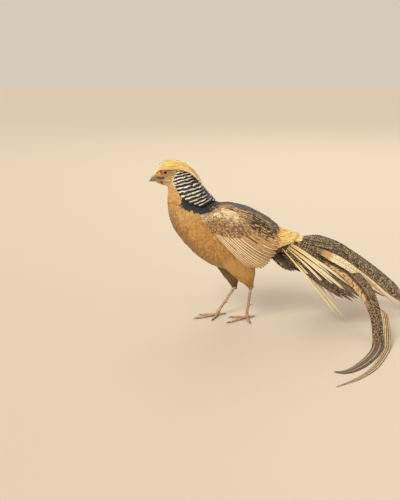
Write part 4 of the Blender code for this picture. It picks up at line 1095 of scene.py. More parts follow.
def covert_colours(rows, turns):
    """Cream along the top of the wing behind the shoulder, brown below and behind."""
    line_rows, line_turns = np.array(CREAM_LINE).T
    middle = np.interp(rows, line_rows, line_turns)
    behind_shoulder = soft_step(rows, 10.35, 10.7) * soft_step(-rows, -12.5, -11.5)
    cream = np.exp(-((turns - middle) / 14.0) ** 2) * behind_shoulder
    front = soft_step(-rows, -11.2, -10.7) * soft_step(turns, 66, 78)
    colour = blend_colours(COVERT_BROWN, COVERT_CREAM, np.clip(cream + 0.55 * front, 0, 1))
    orange = soft_step(-rows, -10.55, -10.25) * soft_step(-turns, -72, -60)
    return blend_colours(colour, COVERT_ORANGE, orange)


BACK_DARK = (0.110, 0.072, 0.050)
BACK_BROWN = (0.215, 0.140, 0.088)
BACK_ORANGE = (0.540, 0.385, 0.230)


def back_colours(rows, turns):
    """Orange brown behind the mantle, then dark brown, cream near the coverts, darkest in the middle."""
    colour = blend_colours(BACK_ORANGE, BACK_BROWN, soft_step(rows, 10.5, 11.2))
    pale = soft_step(np.abs(turns), 24, 34) * soft_step(rows, 10.3, 10.7) * soft_step(-rows, -12.4, -11.7)
    colour = blend_colours(colour, COVERT_CREAM, pale * 0.9)
    return blend_colours(colour, BACK_DARK, soft_step(-np.abs(turns), -22, -6))


# Coverts and back feathers lie between two lines, each given by rows and turns, from the lowest tip to
# the highest, and stand over the body by these heights from the first tier to the last.
COVERT_INNER = ((9.85, 9.95, 10.10, 10.30), (76, 62, 50, 38))
COVERT_OUTER = ((11.55, 12.12, 12.80, 13.80), (89, 81, 69, 52))
COVERT_SURFACE = (-0.0008, 0.0036, 0.0064, 0.0078, 0.0076, 0.0064, 0.0052)
BACK_INNER = ((10.1, 10.0, 10.0), (44, 24, 0))
BACK_OUTER = ((14.00, 14.06, 13.88), (49, 30, 2))
BACK_SURFACE = (0.0000, 0.0046, 0.0070, 0.0070, 0.0064, 0.0056, 0.0044)
# Each field: its tiers, its two lines, how much of the way between them a feather covers, its heights,
# the half widths of its first and last tier, and how many feathers a tier has.
COVERT_FIELD = (9, COVERT_INNER, COVERT_OUTER, 0.34, COVERT_SURFACE, (0.0034, 0.0064), 14)
BACK_FIELD = (7, BACK_INNER, BACK_OUTER, 0.40, BACK_SURFACE, (0.0064, 0.0090), 9)
# The flight feathers, seen from the side: the lines (x, z) through their roots and their tips.
FLIGHT_ROOTS = ((-0.0453, 0.2199), (-0.0259, 0.2132), (0.0063, 0.2100), (0.0420, 0.2230))
FLIGHT_TIPS = ((0.0364, 0.1330), (0.0628, 0.1307), (0.0757, 0.1422), (0.0905, 0.1605), (0.1000, 0.1900))
FLIGHTS = 14
FLIGHT_BROWN = (0.330, 0.225, 0.135)
FLIGHT_WIDTH_SHARES = (0, 0.3, 0.4, 1)
FLIGHT_HALF_WIDTHS = (0.0052, 0.0060, 0.0075, 0.0085)
FLANK_GRID = grid(np.arange(10.4, 15.6, 0.04), np.arange(30.0, 106.0, 1.0))


def over_flank(x, z, height):
    """A place over the flank as seen from the side, where the right side is given by z below 0.

    Each blade is straight as seen from the side and bowed outwards just enough to clear the body.
    """
    spots, out = over_body(*FLANK_GRID, 0.0)
    spots = spots.reshape(-1, 3) - SHIFT
    gaps = (x[..., None] - spots[:, 0]) ** 2 + (np.abs(z)[..., None] - spots[:, 2]) ** 2
    nearest = gaps.argmin(-1)
    far_out = -spots[nearest, 1]
    straight = far_out[:, :1] + (far_out[:, -1:] - far_out[:, :1]) * WING_SHARES
    bow = 4 * WING_SHARES * (1 - WING_SHARES)
    need = ((far_out - straight)[:, 1:-1] / bow[1:-1]).max(axis=1).clip(0)
    normal = out.reshape(-1, 3)[nearest]
    normal = normal[:, :1] + (normal[:, -1:] - normal[:, :1]) * WING_SHARES[:, None]
    normal = unit(normal * (1, 1, 0.6)) * np.stack([np.ones(z.shape), np.sign(z), np.ones(z.shape)], -1)
    spot = np.stack([x, -(straight + need[:, None] * bow) * np.sign(z), np.abs(z)], -1)
    return spot + normal * height[..., None] + SHIFT, normal


def flight_feathers():
    """The blades from the lowest to the highest, by their place seen from the side."""
    share = np.linspace(0, 1, FLIGHTS)
    root, tip = (line_point(np.transpose(line), share) for line in (FLIGHT_ROOTS, FLIGHT_TIPS))
    spots = root[:, None] + (tip - root)[:, None] * WING_SHARES[:, None]
    heights = 0.0016 + 0.0022 * WING_SHARES + 0.0006 * share[:, None]
    half_widths = np.interp(share, FLIGHT_WIDTH_SHARES, FLIGHT_HALF_WIDTHS)
    return spots[..., 0], spots[..., 1], heights, half_widths[:, None]


def make_wings():
    mottled = vane_finish("covert_mottling", mottled_covert)
    streaked = vane_finish("back_streaks", streaked_back)
    edged = vane_finish("flight_edges", edged_blade)
    for side in ("left", "right"):
        wing_piece("flight_feathers_" + side, flight_feathers(), edged, side, 0.20, BLADE_OUTLINE,
                   FLIGHT_BROWN, 0.05, nodes=("wing_" + side,), surface=over_flank)
        wing_piece("wing_coverts_" + side, wing_field(*COVERT_FIELD), mottled, side, 0.06, COVERT_OUTLINE,
                   covert_colours, 0.10)
        wing_piece("back_feathers_" + side, wing_field(*BACK_FIELD), streaked, side, 0.06, COVERT_OUTLINE,
                   back_colours, 0.08)


make_wings()

# The tail: two very long roof-shaped middle feathers, covered with a net of dark lines round cream
# spots, one trailing straight back and one swept down and round, with a narrow strand beside it. The
# rib of each passes these points, and each outline gives half its width along it.
LONG_UPPER = (
    (0.1340, 0.0050, 0.1860), (0.1600, 0.0060, 0.1840), (0.1900, 0.0080, 0.1790),
    (0.2316, 0.0120, 0.1630), (0.2693, 0.0160, 0.1390), (0.3079, 0.0200, 0.1110),
    (0.3472, 0.0250, 0.0790), (0.3875, 0.0300, 0.0440), (0.4257, 0.0351, 0.0160),
    (0.4550, 0.0390, 0.0050), (0.4950, 0.0450, 0.0028), (0.5600, 0.0560, 0.0028),
    (0.6300, 0.0720, 0.0024), (0.7000, 0.0920, 0.0012),
)
LONG_LOWER = (
    (0.1270, 0.0000, 0.1785), (0.1560, -0.0030, 0.1710), (0.1784, -0.0060, 0.1600),
    (0.1950, -0.0120, 0.1505), (0.2122, -0.0270, 0.1425), (0.2424, -0.0490, 0.1310),
    (0.2625, -0.0720, 0.1160), (0.2795, -0.0970, 0.0975), (0.2905, -0.1200, 0.0760),
    (0.2970, -0.1390, 0.0500), (0.2985, -0.1530, 0.0260), (0.2965, -0.1710, 0.0085),
    (0.2875, -0.1950, 0.0030), (0.2690, -0.2300, 0.0028), (0.2440, -0.2650, 0.0028),
    (0.2200, -0.2890, 0.0026), (0.2015, -0.2975, 0.0024), (0.1850, -0.2960, 0.0026),
)
LONG_HALF_WIDTH = 0.019
UPPER_OUTLINE = ((0.00, 0.22), (0.04, 0.22), (0.16, 1.00), (0.55, 1.00), (0.80, 0.74), (0.93, 0.44),
                 (1.00, 0.04))
LOWER_OUTLINE = ((0.00, 0.22), (0.03, 0.22), (0.12, 1.00), (0.40, 1.00), (0.52, 0.66), (0.80, 0.60),
                 (0.93, 0.36), (1.00, 0.04))
# The strand comes out from under the swept feather, runs along its outer edge from one of these places
# to the other, and then leaves it over the floor.
OUTER_HIDDEN = 8.35
OUTER_DEPTH = 0.003
OUTER_ALONG = (8.8, 12.0)
OUTER_FREE = ((0.2750, -0.2640, 0.0024), (0.2480, -0.3020, 0.0022), (0.2190, -0.3310, 0.0018),
              (0.1790, -0.3600, 0.0012))
OUTER_HALF_WIDTH = 0.0065
OUTER_OUTLINE = ((0.00, 0.08), (0.12, 0.80), (0.25, 1.00), (0.70, 1.00), (0.90, 0.55), (1.00, 0.08))
OUTER_CLEARANCE = 0.0012
LONG_FACING = (0.0, -0.62, 0.78)
LONG_STEPS = 150
LONG_STRIPS = 4
LONG_COLUMNS = (-1.0, -0.7, -0.4, -0.08, 0.0, 0.08, 0.4, 0.7, 1.0)
LONG_BROWN = (0.130, 0.085, 0.052)
LONG_THICKNESS = 0.0006


def long_blade(points, places, half_width, outline):
    """Rib, sideways ways and half widths of a stretch of a long feather."""
    end = len(points) - 1
    spine = between(points, places)
    step = 0.02
    ahead, behind = np.minimum(places + step, end), np.maximum(places - step, 0)
    way = unit(between(points, ahead) - between(points, behind))
    flat = np.clip(1 - spine[:, 2] / 0.06, 0, 1)[:, None]
    facing = unit(np.array(LONG_FACING) * (1 - flat) + np.array([0.0, 0.0, 1.0]) * flat)
    side = unit(np.cross(facing, way))
    shares, widths = np.array(outline).T
    return spine, side, half_width * np.interp(places / end, shares, widths)


def net_of_spots(finish, across, along, lot):
    """How much of each place is a cream spot: short wavy slanting dashes between dark lines."""
    warp = finish.noise(finish.point(across, along, lot * 10), 2.4, 2.0)
    where = finish.point(across * 0.9 + warp * 0.5, (along - abs(across) * 0.5) * 1.5)
    cells = finish.node("ShaderNodeTexVoronoi", {"feature": "DISTANCE_TO_EDGE"},
                        {"Vector": where, "Scale": 2.5, "Randomness": 0.85}, "Distance")
    return finish.ramp(cells, 0.12, 0.16)


def netted_blade(finish, ground, across, along, edge, length, lot):
    """A net of dark brown round small cream spots."""
    where = finish.point(across, along, lot * 10)
    tone = finish.noise(where, 0.9, 2.0)
    cream = finish.mix(finish.ramp(tone, 0.40, 0.60), (0.800, 0.700, 0.520), (0.590, 0.460, 0.300))
    colour = finish.mix(net_of_spots(finish, across, along, lot), ground, cream)
    under = finish.ramp(edge, 0.86, 0.97)
    return finish.mix(under * 0.7, colour, (0.560, 0.400, 0.230))


def swept_blade(finish, ground, across, along, edge, length, lot):
    """Spotted above the shaft and golden tan below it, then dark with cream streaks to the end."""
    where = finish.point(across * 2.5, along * 0.8, lot * 10)
    grain = finish.noise(where, 2.0, 3.0, 0.6)
    spots = net_of_spots(finish, across, along, lot)
    cream = finish.mix(grain, (0.780, 0.650, 0.450), (0.600, 0.440, 0.270))
    spotted = finish.mix(spots * 0.9, ground, cream)
    tan = finish.mix(finish.ramp(grain, 0.42, 0.60), (0.820, 0.700, 0.480), (0.450, 0.300, 0.180))
    shadow = finish.mix(finish.ramp(grain, 0.36, 0.52), (0.520, 0.370, 0.220), (0.200, 0.120, 0.070))
    golden = finish.mix(finish.ramp(edge + (grain - 0.5) * 0.25, 0.66, 0.76), shadow, tan)
    start = finish.mix(finish.ramp(edge + (grain - 0.5) * 0.2, 0.50, 0.58), spotted, golden)
    streak = finish.ramp(abs(edge - 0.30 + (grain - 0.5) * 0.12), 0.03, 0.08)
    second = finish.ramp(abs(edge - 0.80 + (grain - 0.5) * 0.12), 0.03, 0.09)
    streaky = finish.mix(streak * second, (0.700, 0.560, 0.370), finish.mix(spots * 0.30, ground, cream))
    middle = finish.mix(finish.ramp(length, 0.44, 0.50), start, spotted)
    return finish.mix(finish.ramp(length, 0.60, 0.70), middle, streaky)


def strand_blade(finish, ground, across, along, edge, length, lot):
    """Three long pale strands with dark brown between them, as painted shade in the gaps between the
    strands.
    """
    where = finish.point(across * 4.0, along * 0.5, lot * 10)
    streaks = finish.noise(where, 3.0, 3.0, 0.6)
    pale = finish.mix(finish.ramp(streaks, 0.40, 0.65), (0.880, 0.780, 0.590), (0.640, 0.500, 0.330))
    strand = ((edge * 3.0 + (streaks - 0.5) * 0.25) * (2 * math.pi) - 0.5 * math.pi).sine()
    return finish.mix(finish.ramp(strand, -0.35, 0.05), (0.270, 0.180, 0.110), pale)


def outer_path():
    """The rib of the strand: hidden, then beside the swept feather, then on its own over the floor."""
    places = np.concatenate([[OUTER_HIDDEN], np.linspace(*OUTER_ALONG, len(OUTER_FREE) + 1)])
    spine, side, half_widths = long_blade(LONG_LOWER, places, LONG_HALF_WIDTH, LOWER_OUTLINE)
    beside = spine + side * (half_widths + OUTER_CLEARANCE + OUTER_HALF_WIDTH)[:, None]
    beside[0] = spine[0] + side[0] * half_widths[0] * 0.8 - np.array(LONG_FACING) * OUTER_DEPTH
    return np.concatenate([beside, np.array(OUTER_FREE)])


def long_feather(name, points, half_width, outline, lengths, finish):
    """One long feather, which stands for its lengths in the CAD."""
    places = np.linspace(0, len(points) - 1, LONG_STEPS)
    spine, side, half_widths = long_blade(points, places, half_width, outline)
    up = unit(np.cross(np.gradient(spine, axis=0), side))
    half_widths = half_widths * (1 - 0.03 * np.abs(draw.normal(0, 1, LONG_STEPS)))
    strip = np.minimum(np.arange(LONG_STEPS - 1) * LONG_STRIPS // (LONG_STEPS - 1), LONG_STRIPS - 1)
    patch = np.stack([(strip + 0.05) / LONG_STRIPS, 0.01 - strip * 0.98], -1)[None]
    colours = np.full((1, LONG_STEPS - 1, 2, 3), LONG_BROWN)
    mesh = feather_mesh(name, (spine + SHIFT)[None], side[None], up[None], half_widths[None], colours,
                        (patch, (0.9 / LONG_STRIPS, 0.98 * LONG_STRIPS)), columns=LONG_COLUMNS, crown=0.16,
                        thickness=LONG_THICKNESS, ridge=0.0005, floor=0.0)
    show(name, mesh, finish, "tail", *("%s_%d" % (name, length + 1) for length in range(lengths)))


def make_long_feathers():
    netted = vane_finish("tail_net", netted_blade, roughness=0.5)
    swept = vane_finish("tail_swept", swept_blade, roughness=0.5)
    strand = vane_finish("tail_strand", strand_blade, roughness=0.5)
    long_feather("tail_long_upper", LONG_UPPER, LONG_HALF_WIDTH, UPPER_OUTLINE, 3, netted)
    long_feather("tail_long_lower", LONG_LOWER, LONG_HALF_WIDTH, LOWER_OUTLINE, 4, swept)
    long_feather("tail_long_outer", outer_path(), OUTER_HALF_WIDTH, OUTER_OUTLINE, 2, strand)


make_long_feathers()

# The rest of the tail: fans of shorter brown feathers on each side, short coverts over and under them,
# a pale blade on each side, and narrow pointed cream feathers that hang from the rump over them like
# straws.
FAN_STEPS = 11
FAN_SHARES = np.linspace(0, 1, FAN_STEPS)
FAN_OUTLINE = np.array((0.45, 0.70, 0.88, 0.97, 1.0, 1.0, 0.96, 0.86, 0.68, 0.42, 0.10))
FAN_COLUMNS = (-1.0, -0.5, -0.08, 0.0, 0.08, 0.5, 1.0)


def heading(droop, splay):
    """Ways backwards that droop and splay by so many degrees."""
    droop, splay = np.radians(droop), np.radians(splay)
    return np.stack([np.cos(droop) * np.cos(splay), np.sin(splay), -np.sin(droop) * np.cos(splay)], -1)


# Each fan on the left side: how many feathers, the roots of the first and last, their lengths, the
# degrees that they droop and splay, their half widths, and how far they sag for their length.
PALE_FAN = (5, (0.1280, -0.0040, 0.1660), (0.1230, -0.0095, 0.1600), (0.235, 0.200), (25, 28.5), (8, 17),
            (0.0115, 0.0105), 0.02)
DARK_FAN = (5, (0.1215, -0.0110, 0.1590), (0.1180, -0.0150, 0.1530), (0.190, 0.150), (29.5, 33), (20, 27),
            (0.0105, 0.0095), 0.02)
SHORT_FAN = (7, (0.1160, -0.0060, 0.1560), (0.1080, -0.0150, 0.1580), (0.090, 0.060), (36, 40), (4, 28),
             (0.0075, 0.0065), 0.02)
UNDER_COVERTS = (9, (0.1000, -0.0030, 0.1580), (0.0820, -0.0180, 0.1560), (0.080, 0.050), (33, 41),
                 (2, 24), (0.0085, 0.0065), 0.03)
UPPER_COVERTS = (12, (0.1290, -0.0030, 0.1880), (0.1150, -0.0190, 0.1680), (0.105, 0.060), (6, 34),
                 (1, 26), (0.0100, 0.0080), 0.14)
SIDE_TAN = (0.640, 0.480, 0.290)
DARK_BROWN = (0.260, 0.165, 0.100)
COVER_BROWN = (0.190, 0.125, 0.075)
STRAW_YELLOW = (0.975, 0.860, 0.600)
BLADE_BROWN = (0.200, 0.130, 0.080)


def fan(number, first_root, last_root, lengths, droops, splays, half_widths, sag):
    """Straight feathers of a fan on the left side, read at even shares from the first to the last."""
    share = np.linspace(0, 1, number)[:, None]
    roots = np.array(first_root) * (1 - share) + np.array(last_root) * share
    length, droop, splay, half = (np.interp(share[:, 0], (0, 1), ends) for ends in
                                  (lengths, droops, splays, half_widths))
    way = heading(droop + draw.normal(0, 0.8, number), -(splay + draw.normal(0, 0.8, number)))
    length = length * draw.uniform(0.95, 1.03, number)
    spines = roots[:, None] + way[:, None] * (length[:, None] * FAN_SHARES)[..., None]
    spines[..., 2] -= sag * (length[:, None] * FAN_SHARES ** 2)
    return spines, half[:, None] * FAN_OUTLINE


def fan_piece(name, parts, finish, colour, spread, crown=0.12, tilt=0.42, nodes=()):
    """The feathers of some fans on both sides, each turned outwards by its tilt."""
    spines, wide, signs = [], [], []
    for sign in (1.0, -1.0):
        for spine, half in parts:
            spines.append(spine * (1.0, sign, 1.0))
            wide.append(half)
            signs.append(np.full(len(spine), sign))
    spines, wide, signs = (np.concatenate(kept) for kept in (spines, wide, signs))
    number = len(spines)
    way = unit(np.gradient(spines, axis=1))
    facing = np.stack([np.zeros(number), draw.normal(0, 0.08, number) - tilt * signs, np.ones(number)], -1)
    side = unit(np.cross(facing[:, None], way))
    up = unit(np.cross(way, side))
    base = np.array(colour) * draw.normal(1.0, spread, number)[:, None]
    colours = stripe_of_steps(base, base, FAN_SHARES)
    mesh = feather_mesh(name, spines + SHIFT, side, up, wide, colours, cell_patches(number, FAN_STEPS),
                        columns=FAN_COLUMNS, crown=crown, ridge=0.0003, outer=-signs, floor=0.0)
    show(name, mesh, finish, "tail", *nodes)


def freckled_blade(finish, ground, across, along, edge, length, lot):
    """Its own brown with slanting streaks and freckles, darker beside the shaft."""
    where = finish.point(across * 2.4 + along * 0.5, along, lot * 10)
    streaks = finish.noise(where, 2.6, 3.0, 0.65)
    dark = finish.mix(finish.ramp(streaks, 0.46, 0.60), ground, (0.190, 0.115, 0.070))
    pale = finish.ramp(1 - streaks, 0.52, 0.64)
    return finish.mix(pale * 0.6, dark, (0.860, 0.730, 0.510))


def straw_blade(finish, ground, across, along, edge, length, lot):
    """Pale straw, creamier towards the end, with a thin browner edge."""
    colour = finish.mix(finish.ramp(length, 0.1, 0.6), ground, (0.945, 0.885, 0.740))
    return finish.mix(finish.ramp(abs(edge - 0.5), 0.36, 0.46) * 0.75, colour, (0.560, 0.410, 0.240))


def cream_blade(finish, ground, across, along, edge, length, lot):
    """Netted brown at the root, a little gold, mottled cream after it, then plain tan to the point."""
    where = finish.point(across * 2.0, along * 1.2, lot * 10)
    mottle = finish.noise(where, 3.0, 3.0, 0.65)
    middle = finish.mix(finish.ramp(mottle, 0.48, 0.60), (0.960, 0.900, 0.760), (0.560, 0.420, 0.270))
    root = finish.mix(net_of_spots(finish, across, along, lot), ground, (0.700, 0.560, 0.380))
    place = length + (mottle - 0.5) * 0.1
    colour = finish.mix(finish.ramp(place, 0.18, 0.22), root, (0.740, 0.580, 0.360))
    colour = finish.mix(finish.ramp(place, 0.25, 0.31), colour, middle)
    return finish.mix(finish.ramp(place, 0.56, 0.66), colour, (0.800, 0.680, 0.490))


# Each straw's root, its tip, how far it bows outwards on its way, and its half width.
STRAWS = (
    ((0.1061, -0.0235, 0.1705), (0.2284, -0.0600, 0.0266), 0.014, 0.0033),
    ((0.1157, -0.0230, 0.1658), (0.2471, -0.0540, 0.0172), 0.016, 0.0034),
    ((0.1180, -0.0230, 0.1700), (0.2112, -0.0550, 0.0840), 0.012, 0.0029),
    ((0.1200, -0.0220, 0.1720), (0.2308, -0.0580, 0.0856), 0.012, 0.0028),
    ((0.1210, -0.0210, 0.1740), (0.2560, -0.0640, 0.0740), 0.012, 0.0034),
    ((0.1230, -0.0190, 0.1770), (0.2180, -0.0500, 0.1120), 0.010, 0.0026),
    ((0.1240, -0.0170, 0.1790), (0.2620, -0.0600, 0.0900), 0.010, 0.0030),
    ((0.1270, -0.0150, 0.1790), (0.2097, -0.0400, 0.1190), 0.008, 0.0026),
)
STRAW_RISE = 0.006
STRAW_OUTLINE = np.array((0.26, 0.34, 0.48, 0.66, 0.84, 0.96, 1.0, 0.96, 0.84, 0.56, 0.08))
MIDDLE_BLADE = ((0.1500, -0.0060, 0.1760), (0.1945, -0.0260, 0.1621), (0.2225, -0.0460, 0.1522),
                (0.2475, -0.0570, 0.1394), (0.2776, -0.0560, 0.1175), (0.3153, -0.0460, 0.0851),
                (0.3610, -0.0360, 0.0430))
MIDDLE_HALF = 0.0095
MIDDLE_OUTLINE = np.array((0.40, 0.60, 0.80, 1.0, 1.0, 0.94, 0.80, 0.62, 0.42, 0.22, 0.05))


def straw(root, tip, bow, half_width):
    """A narrow feather that bows outwards and a little up on its way."""
    along = FAN_SHARES[:, None]
    spine = np.array(root) * (1 - along) + np.array(tip) * along
    arch = np.sin(FAN_SHARES * math.pi)
    spine[:, 2] += STRAW_RISE * arch
    spine[:, 1] -= bow * arch
    return spine[None], (half_width * STRAW_OUTLINE)[None]


def make_tail_fan():
    freckled = vane_finish("tail_freckles", freckled_blade)
    straws = vane_finish("tail_straw", straw_blade)
    netted = vane_finish("tail_cover_net", netted_blade)
    cream = vane_finish("tail_cream", cream_blade)
    pale_fan = fan(*PALE_FAN)
    dark_fans = [fan(*values) for values in (DARK_FAN, SHORT_FAN, UNDER_COVERTS)]
    fan_piece("tail_side_feathers", [pale_fan], freckled, SIDE_TAN, 0.12, nodes=("tail",))
    fan_piece("tail_dark_feathers", dark_fans, freckled, DARK_BROWN, 0.10)
    fan_piece("tail_upper_coverts", [fan(*UPPER_COVERTS)], netted, COVER_BROWN, 0.08)
    fan_piece("tail_straws", [straw(*values) for values in STRAWS], straws, STRAW_YELLOW, 0.03, 0.25, 1.7)
    spine = between(MIDDLE_BLADE, FAN_SHARES * (len(MIDDLE_BLADE) - 1))
    middle_blade = (spine[None], (MIDDLE_HALF * MIDDLE_OUTLINE)[None])
    fan_piece("tail_middle_blades", [middle_blade], cream, BLADE_BROWN, 0.02, tilt=1.3)


make_tail_fan()

# The rump: long loose hair-like feathers, pale yellow and gold, that end square over the root of the
# tail.
RUMP_SHARES = np.linspace(0, 1, 7)
RUMP_OUTLINE = np.array((0.5, 0.85, 1.0, 1.0, 0.9, 0.6, 0.1))
RUMP_NUMBER = 1500
RUMP_ROWS = (13.3, 16.6)
RUMP_REACH = 80
RUMP_SQUARE_END = 17.05
RUMP_ROOT = -0.0030
RUMP_LENGTH_ROWS = (13.3, 15.0, 16.6)
RUMP_LENGTHS = (0.026, 0.030, 0.022)
RUMP_LIFT = (0.0062, 0.0024)


def make_rump():
    number = RUMP_NUMBER
    rows = draw.uniform(*RUMP_ROWS, number)
    turns = draw.uniform(-RUMP_REACH, RUMP_REACH, number)
    lengths = np.interp(rows, RUMP_LENGTH_ROWS, RUMP_LENGTHS) * draw.uniform(0.8, 1.1, number)
    square_end = RUMP_SQUARE_END - 0.006 * np.abs(turns)[:, None] + draw.normal(0, 0.08, (number, 1))
    along = np.minimum(run_along(rows, turns, lengths, RUMP_SHARES), square_end)
    along = along + np.arange(len(RUMP_SHARES)) * 0.002
    lift = np.interp(np.abs(turns), (0, RUMP_REACH), RUMP_LIFT) * draw.uniform(0.5, 1.1, number)
    heights = RUMP_ROOT + (lift - RUMP_ROOT)[:, None] * RUMP_SHARES ** 0.7
    spots, sides, ups, sign = lay_on(over_body, along, turns[:, None] * (1 - 0.1 * RUMP_SHARES), heights,
                                     twist=draw.normal(0, 0.2, number))
    half_widths = draw.uniform(0.0008, 0.0015, number)[:, None] * RUMP_OUTLINE
    colour = blend_colours(RUMP_GOLD, RUMP_PALE, soft_step(rows[:, None] + RUMP_SHARES, 14.2, 16.2))
    colour = colour * draw.normal(1.0, 0.05, number)[:, None, None]
    mesh = feather_mesh("rump_coat", spots, sides, ups, half_widths, both_ends(colour),
                        tuft_patches(rows, turns, len(RUMP_SHARES)), outer=sign, crown=0.2)
    show("rump_coat", mesh, feather_finish("rump_plumage", roughness=0.5, barbs=4.0), "breast")


make_rump()

# The bill: a short curved horn-grey bill, the upper half over the lower, with a slit nostril on each
# side near the forehead.
BILL_ROOT = (-0.1660, 0.3216)
BILL_TIP = (-0.1842, 0.3124)
BILL_SLOPE = -0.209
BILL_FLAT = 0.00025
MOUTH_GAP = 0.0008
# How far the line of the mouth lies under the root: at the root, evenly along it and at its hook.
MOUTH_DROPS = (0.0008, 0.0020, 0.0052)
BILL_RINGS = 26
BILL_AROUND = 36
# Each half: its CAD node, its reach, its heights at root and tip, its half width and its side.
BILL_HALVES = (
    ("upper_bill", "bill_upper", 1.0, 0.0088, 0.0011, 0.0076, 1),
    ("lower_bill", "bill_lower", 0.86, 0.0060, 0.0007, 0.0066, -1),
)
NOSTRIL_PLACE = (-0.1745, 0.0050, 0.3240)
NOSTRIL_HALF = (0.0017, 0.0008)
NOSTRIL_DEPTH = 0.0010


def make_bill():
    finish = Finish("bill_horn", roughness=0.32, coat=0.25)
    where = finish.place()
    growth = finish.noise(where, 260.0, 3.0)
    streaks = finish.noise(where, 1400.0, 2.0)
    tip_x = BILL_TIP[0] + float(SHIFT[0])
    behind_tip = finish.node("ShaderNodeSeparateXYZ", inputs={0: where}, output="X") - tip_x
    horn = finish.mix(finish.ramp(growth, 0.35, 0.7), (0.61, 0.56, 0.46), (0.44, 0.40, 0.33))
    finish.paint(finish.mix(finish.ramp(behind_tip, 0.0, 0.008), (0.36, 0.34, 0.30), horn))
    finish.bump(growth + streaks * 0.4, 0.0003, 0.4)
    along = np.linspace(0, 1, BILL_RINGS)
    angles = np.radians(once_round(BILL_AROUND))
    up = np.sin(angles)
    for name, node, reach, height_root, height_tip, width_root, sign in BILL_HALVES:
        share = along * reach
        gape = BILL_ROOT[1] - MOUTH_DROPS[0] - MOUTH_DROPS[1] * share - MOUTH_DROPS[2] * share ** 3
        if sign < 0:
            gape -= MOUTH_GAP
        tall = height_root * (1 - along ** 2.0) + height_tip * along
        wide = width_root * (1 - 0.92 * along ** 1.2)
        over = np.where(up * sign > 0, np.abs(up), -BILL_FLAT * np.abs(up) / height_root)
        z = gape[:, None] + sign * tall[:, None] * over[None, :]
        centre = BILL_ROOT[0] + (BILL_TIP[0] - BILL_ROOT[0]) * share
        x = centre[:, None] + ((1 - along) * BILL_SLOPE)[:, None] * (z - BILL_ROOT[1])
        y = wide[:, None] * np.cos(angles)[None, :]
        rings = np.stack([x, y, z], -1)
        if sign > 0:
            for way in (-1, 1):
                away = rings - np.array(NOSTRIL_PLACE) * (1, way, 1)
                dent = np.exp(-((away[..., ::2] / NOSTRIL_HALF) ** 2).sum(-1))
                rings[..., 1] -= way * NOSTRIL_DEPTH * dent * (np.sign(rings[..., 1]) == way)
        show(name, mesh_of_rings(rings + SHIFT), finish, "bill", node)


make_bill()

# The eyes: a dark brown ball with a wet gloss, in a round opening with a thin dark rim, inside a ring
# of pale bare skin with fine folds. Ring and rim are made of rings of these radii, which stand out
# from the head by these heights.
EYE_RADIUS = 0.0050
LID_OUT = 0.0117
LID_AROUND = 64
LID_SQUASH = 0.92
LID_CURVE = 18
LID_FOLDS = 17
EYE_GRID = (40, 26)
PUPIL = (0.0016, 0.0020)
ORBITAL_RADII = (0.0033, 0.0038, 0.0047, 0.0056, 0.0062, 0.0056, 0.0040)
ORBITAL_HEIGHTS = (0.0006, 0.0013, 0.0012, 0.0006, -0.0004, -0.0018, -0.0018)
ORBITAL_FOLDS = 0.00012
RIM_RADII = (0.0031, 0.0032, 0.0036, 0.0038, 0.0037, 0.0032)
RIM_HEIGHTS = (0.0004, 0.0013, 0.0016, 0.0012, -0.0006, -0.0010)
RIM_FOLDS = 0.00004


def lid_rings(place, way, radii, heights, fold):
    """Rings round one eye, closed into a loop, with folds that run outwards."""
    turns = np.radians(once_round(LID_AROUND))
    rings = []
    for radius, height in zip(radii, heights):
        waver = 1 + fold / radius * np.sin(turns * LID_FOLDS)
        x, z = radius * waver * np.cos(turns), radius * waver * np.sin(turns) * LID_SQUASH
        y = way * (LID_OUT - EYE_PLACE[1] + height) - way * LID_CURVE * x ** 2
        rings.append(np.stack([x, y, z], -1) + place)
    return np.array([*rings, rings[0]])


def make_eyes():
    finish = Finish("eye_wet", roughness=0.06, coat=0.6)
    where = finish.place()
    lids = Finish("orbital_skin", roughness=0.6)
    folds = lids.noise(lids.place(), 1100.0, 2.0)
    lids.paint(lids.mix(folds, (0.84, 0.68, 0.52), (0.66, 0.47, 0.34)))
    lids.bump(folds, 0.0003, 0.5)
    rim = Finish("lid_rim", roughness=0.45)
    rim.paint(rim.mix(rim.noise(rim.place(), 900.0), (0.24, 0.17, 0.12), (0.13, 0.09, 0.07)))
    eye_x, _, eye_z = np.array(EYE_PLACE) + SHIFT
    x = finish.node("ShaderNodeSeparateXYZ", inputs={0: where}, output="X") - float(eye_x)
    z = finish.node("ShaderNodeSeparateXYZ", inputs={0: where}, output="Z") - float(eye_z)
    away = finish.node("ShaderNodeMath", {"operation": "POWER"}, {0: x * x + z * z, 1: 0.5})
    iris = finish.mix(finish.noise(where, 900.0), (0.22, 0.12, 0.06), (0.10, 0.055, 0.03))
    finish.paint(finish.mix(finish.ramp(away, *PUPIL), (0.012, 0.010, 0.010), iris))
    for side, way in (("left", -1), ("right", 1)):
        place = np.array(EYE_PLACE) * (1, way, 1) + SHIFT
        bm = bmesh.new()
        bmesh.ops.create_uvsphere(bm, u_segments=EYE_GRID[0], v_segments=EYE_GRID[1], radius=EYE_RADIUS)
        bmesh.ops.translate(bm, verts=bm.verts, vec=place)
        show("eyeball_" + side, bm, finish, "eye", "eye_" + side)
        ring = lid_rings(place, way, ORBITAL_RADII, ORBITAL_HEIGHTS, ORBITAL_FOLDS)
        show("orbital_ring_" + side, mesh_of_rings(ring, closed_ends=False), lids, "face")
        ring = lid_rings(place, way, RIM_RADII, RIM_HEIGHTS, RIM_FOLDS)
        show("eye_rim_" + side, mesh_of_rings(ring, closed_ends=False), rim, "face")


make_eyes()

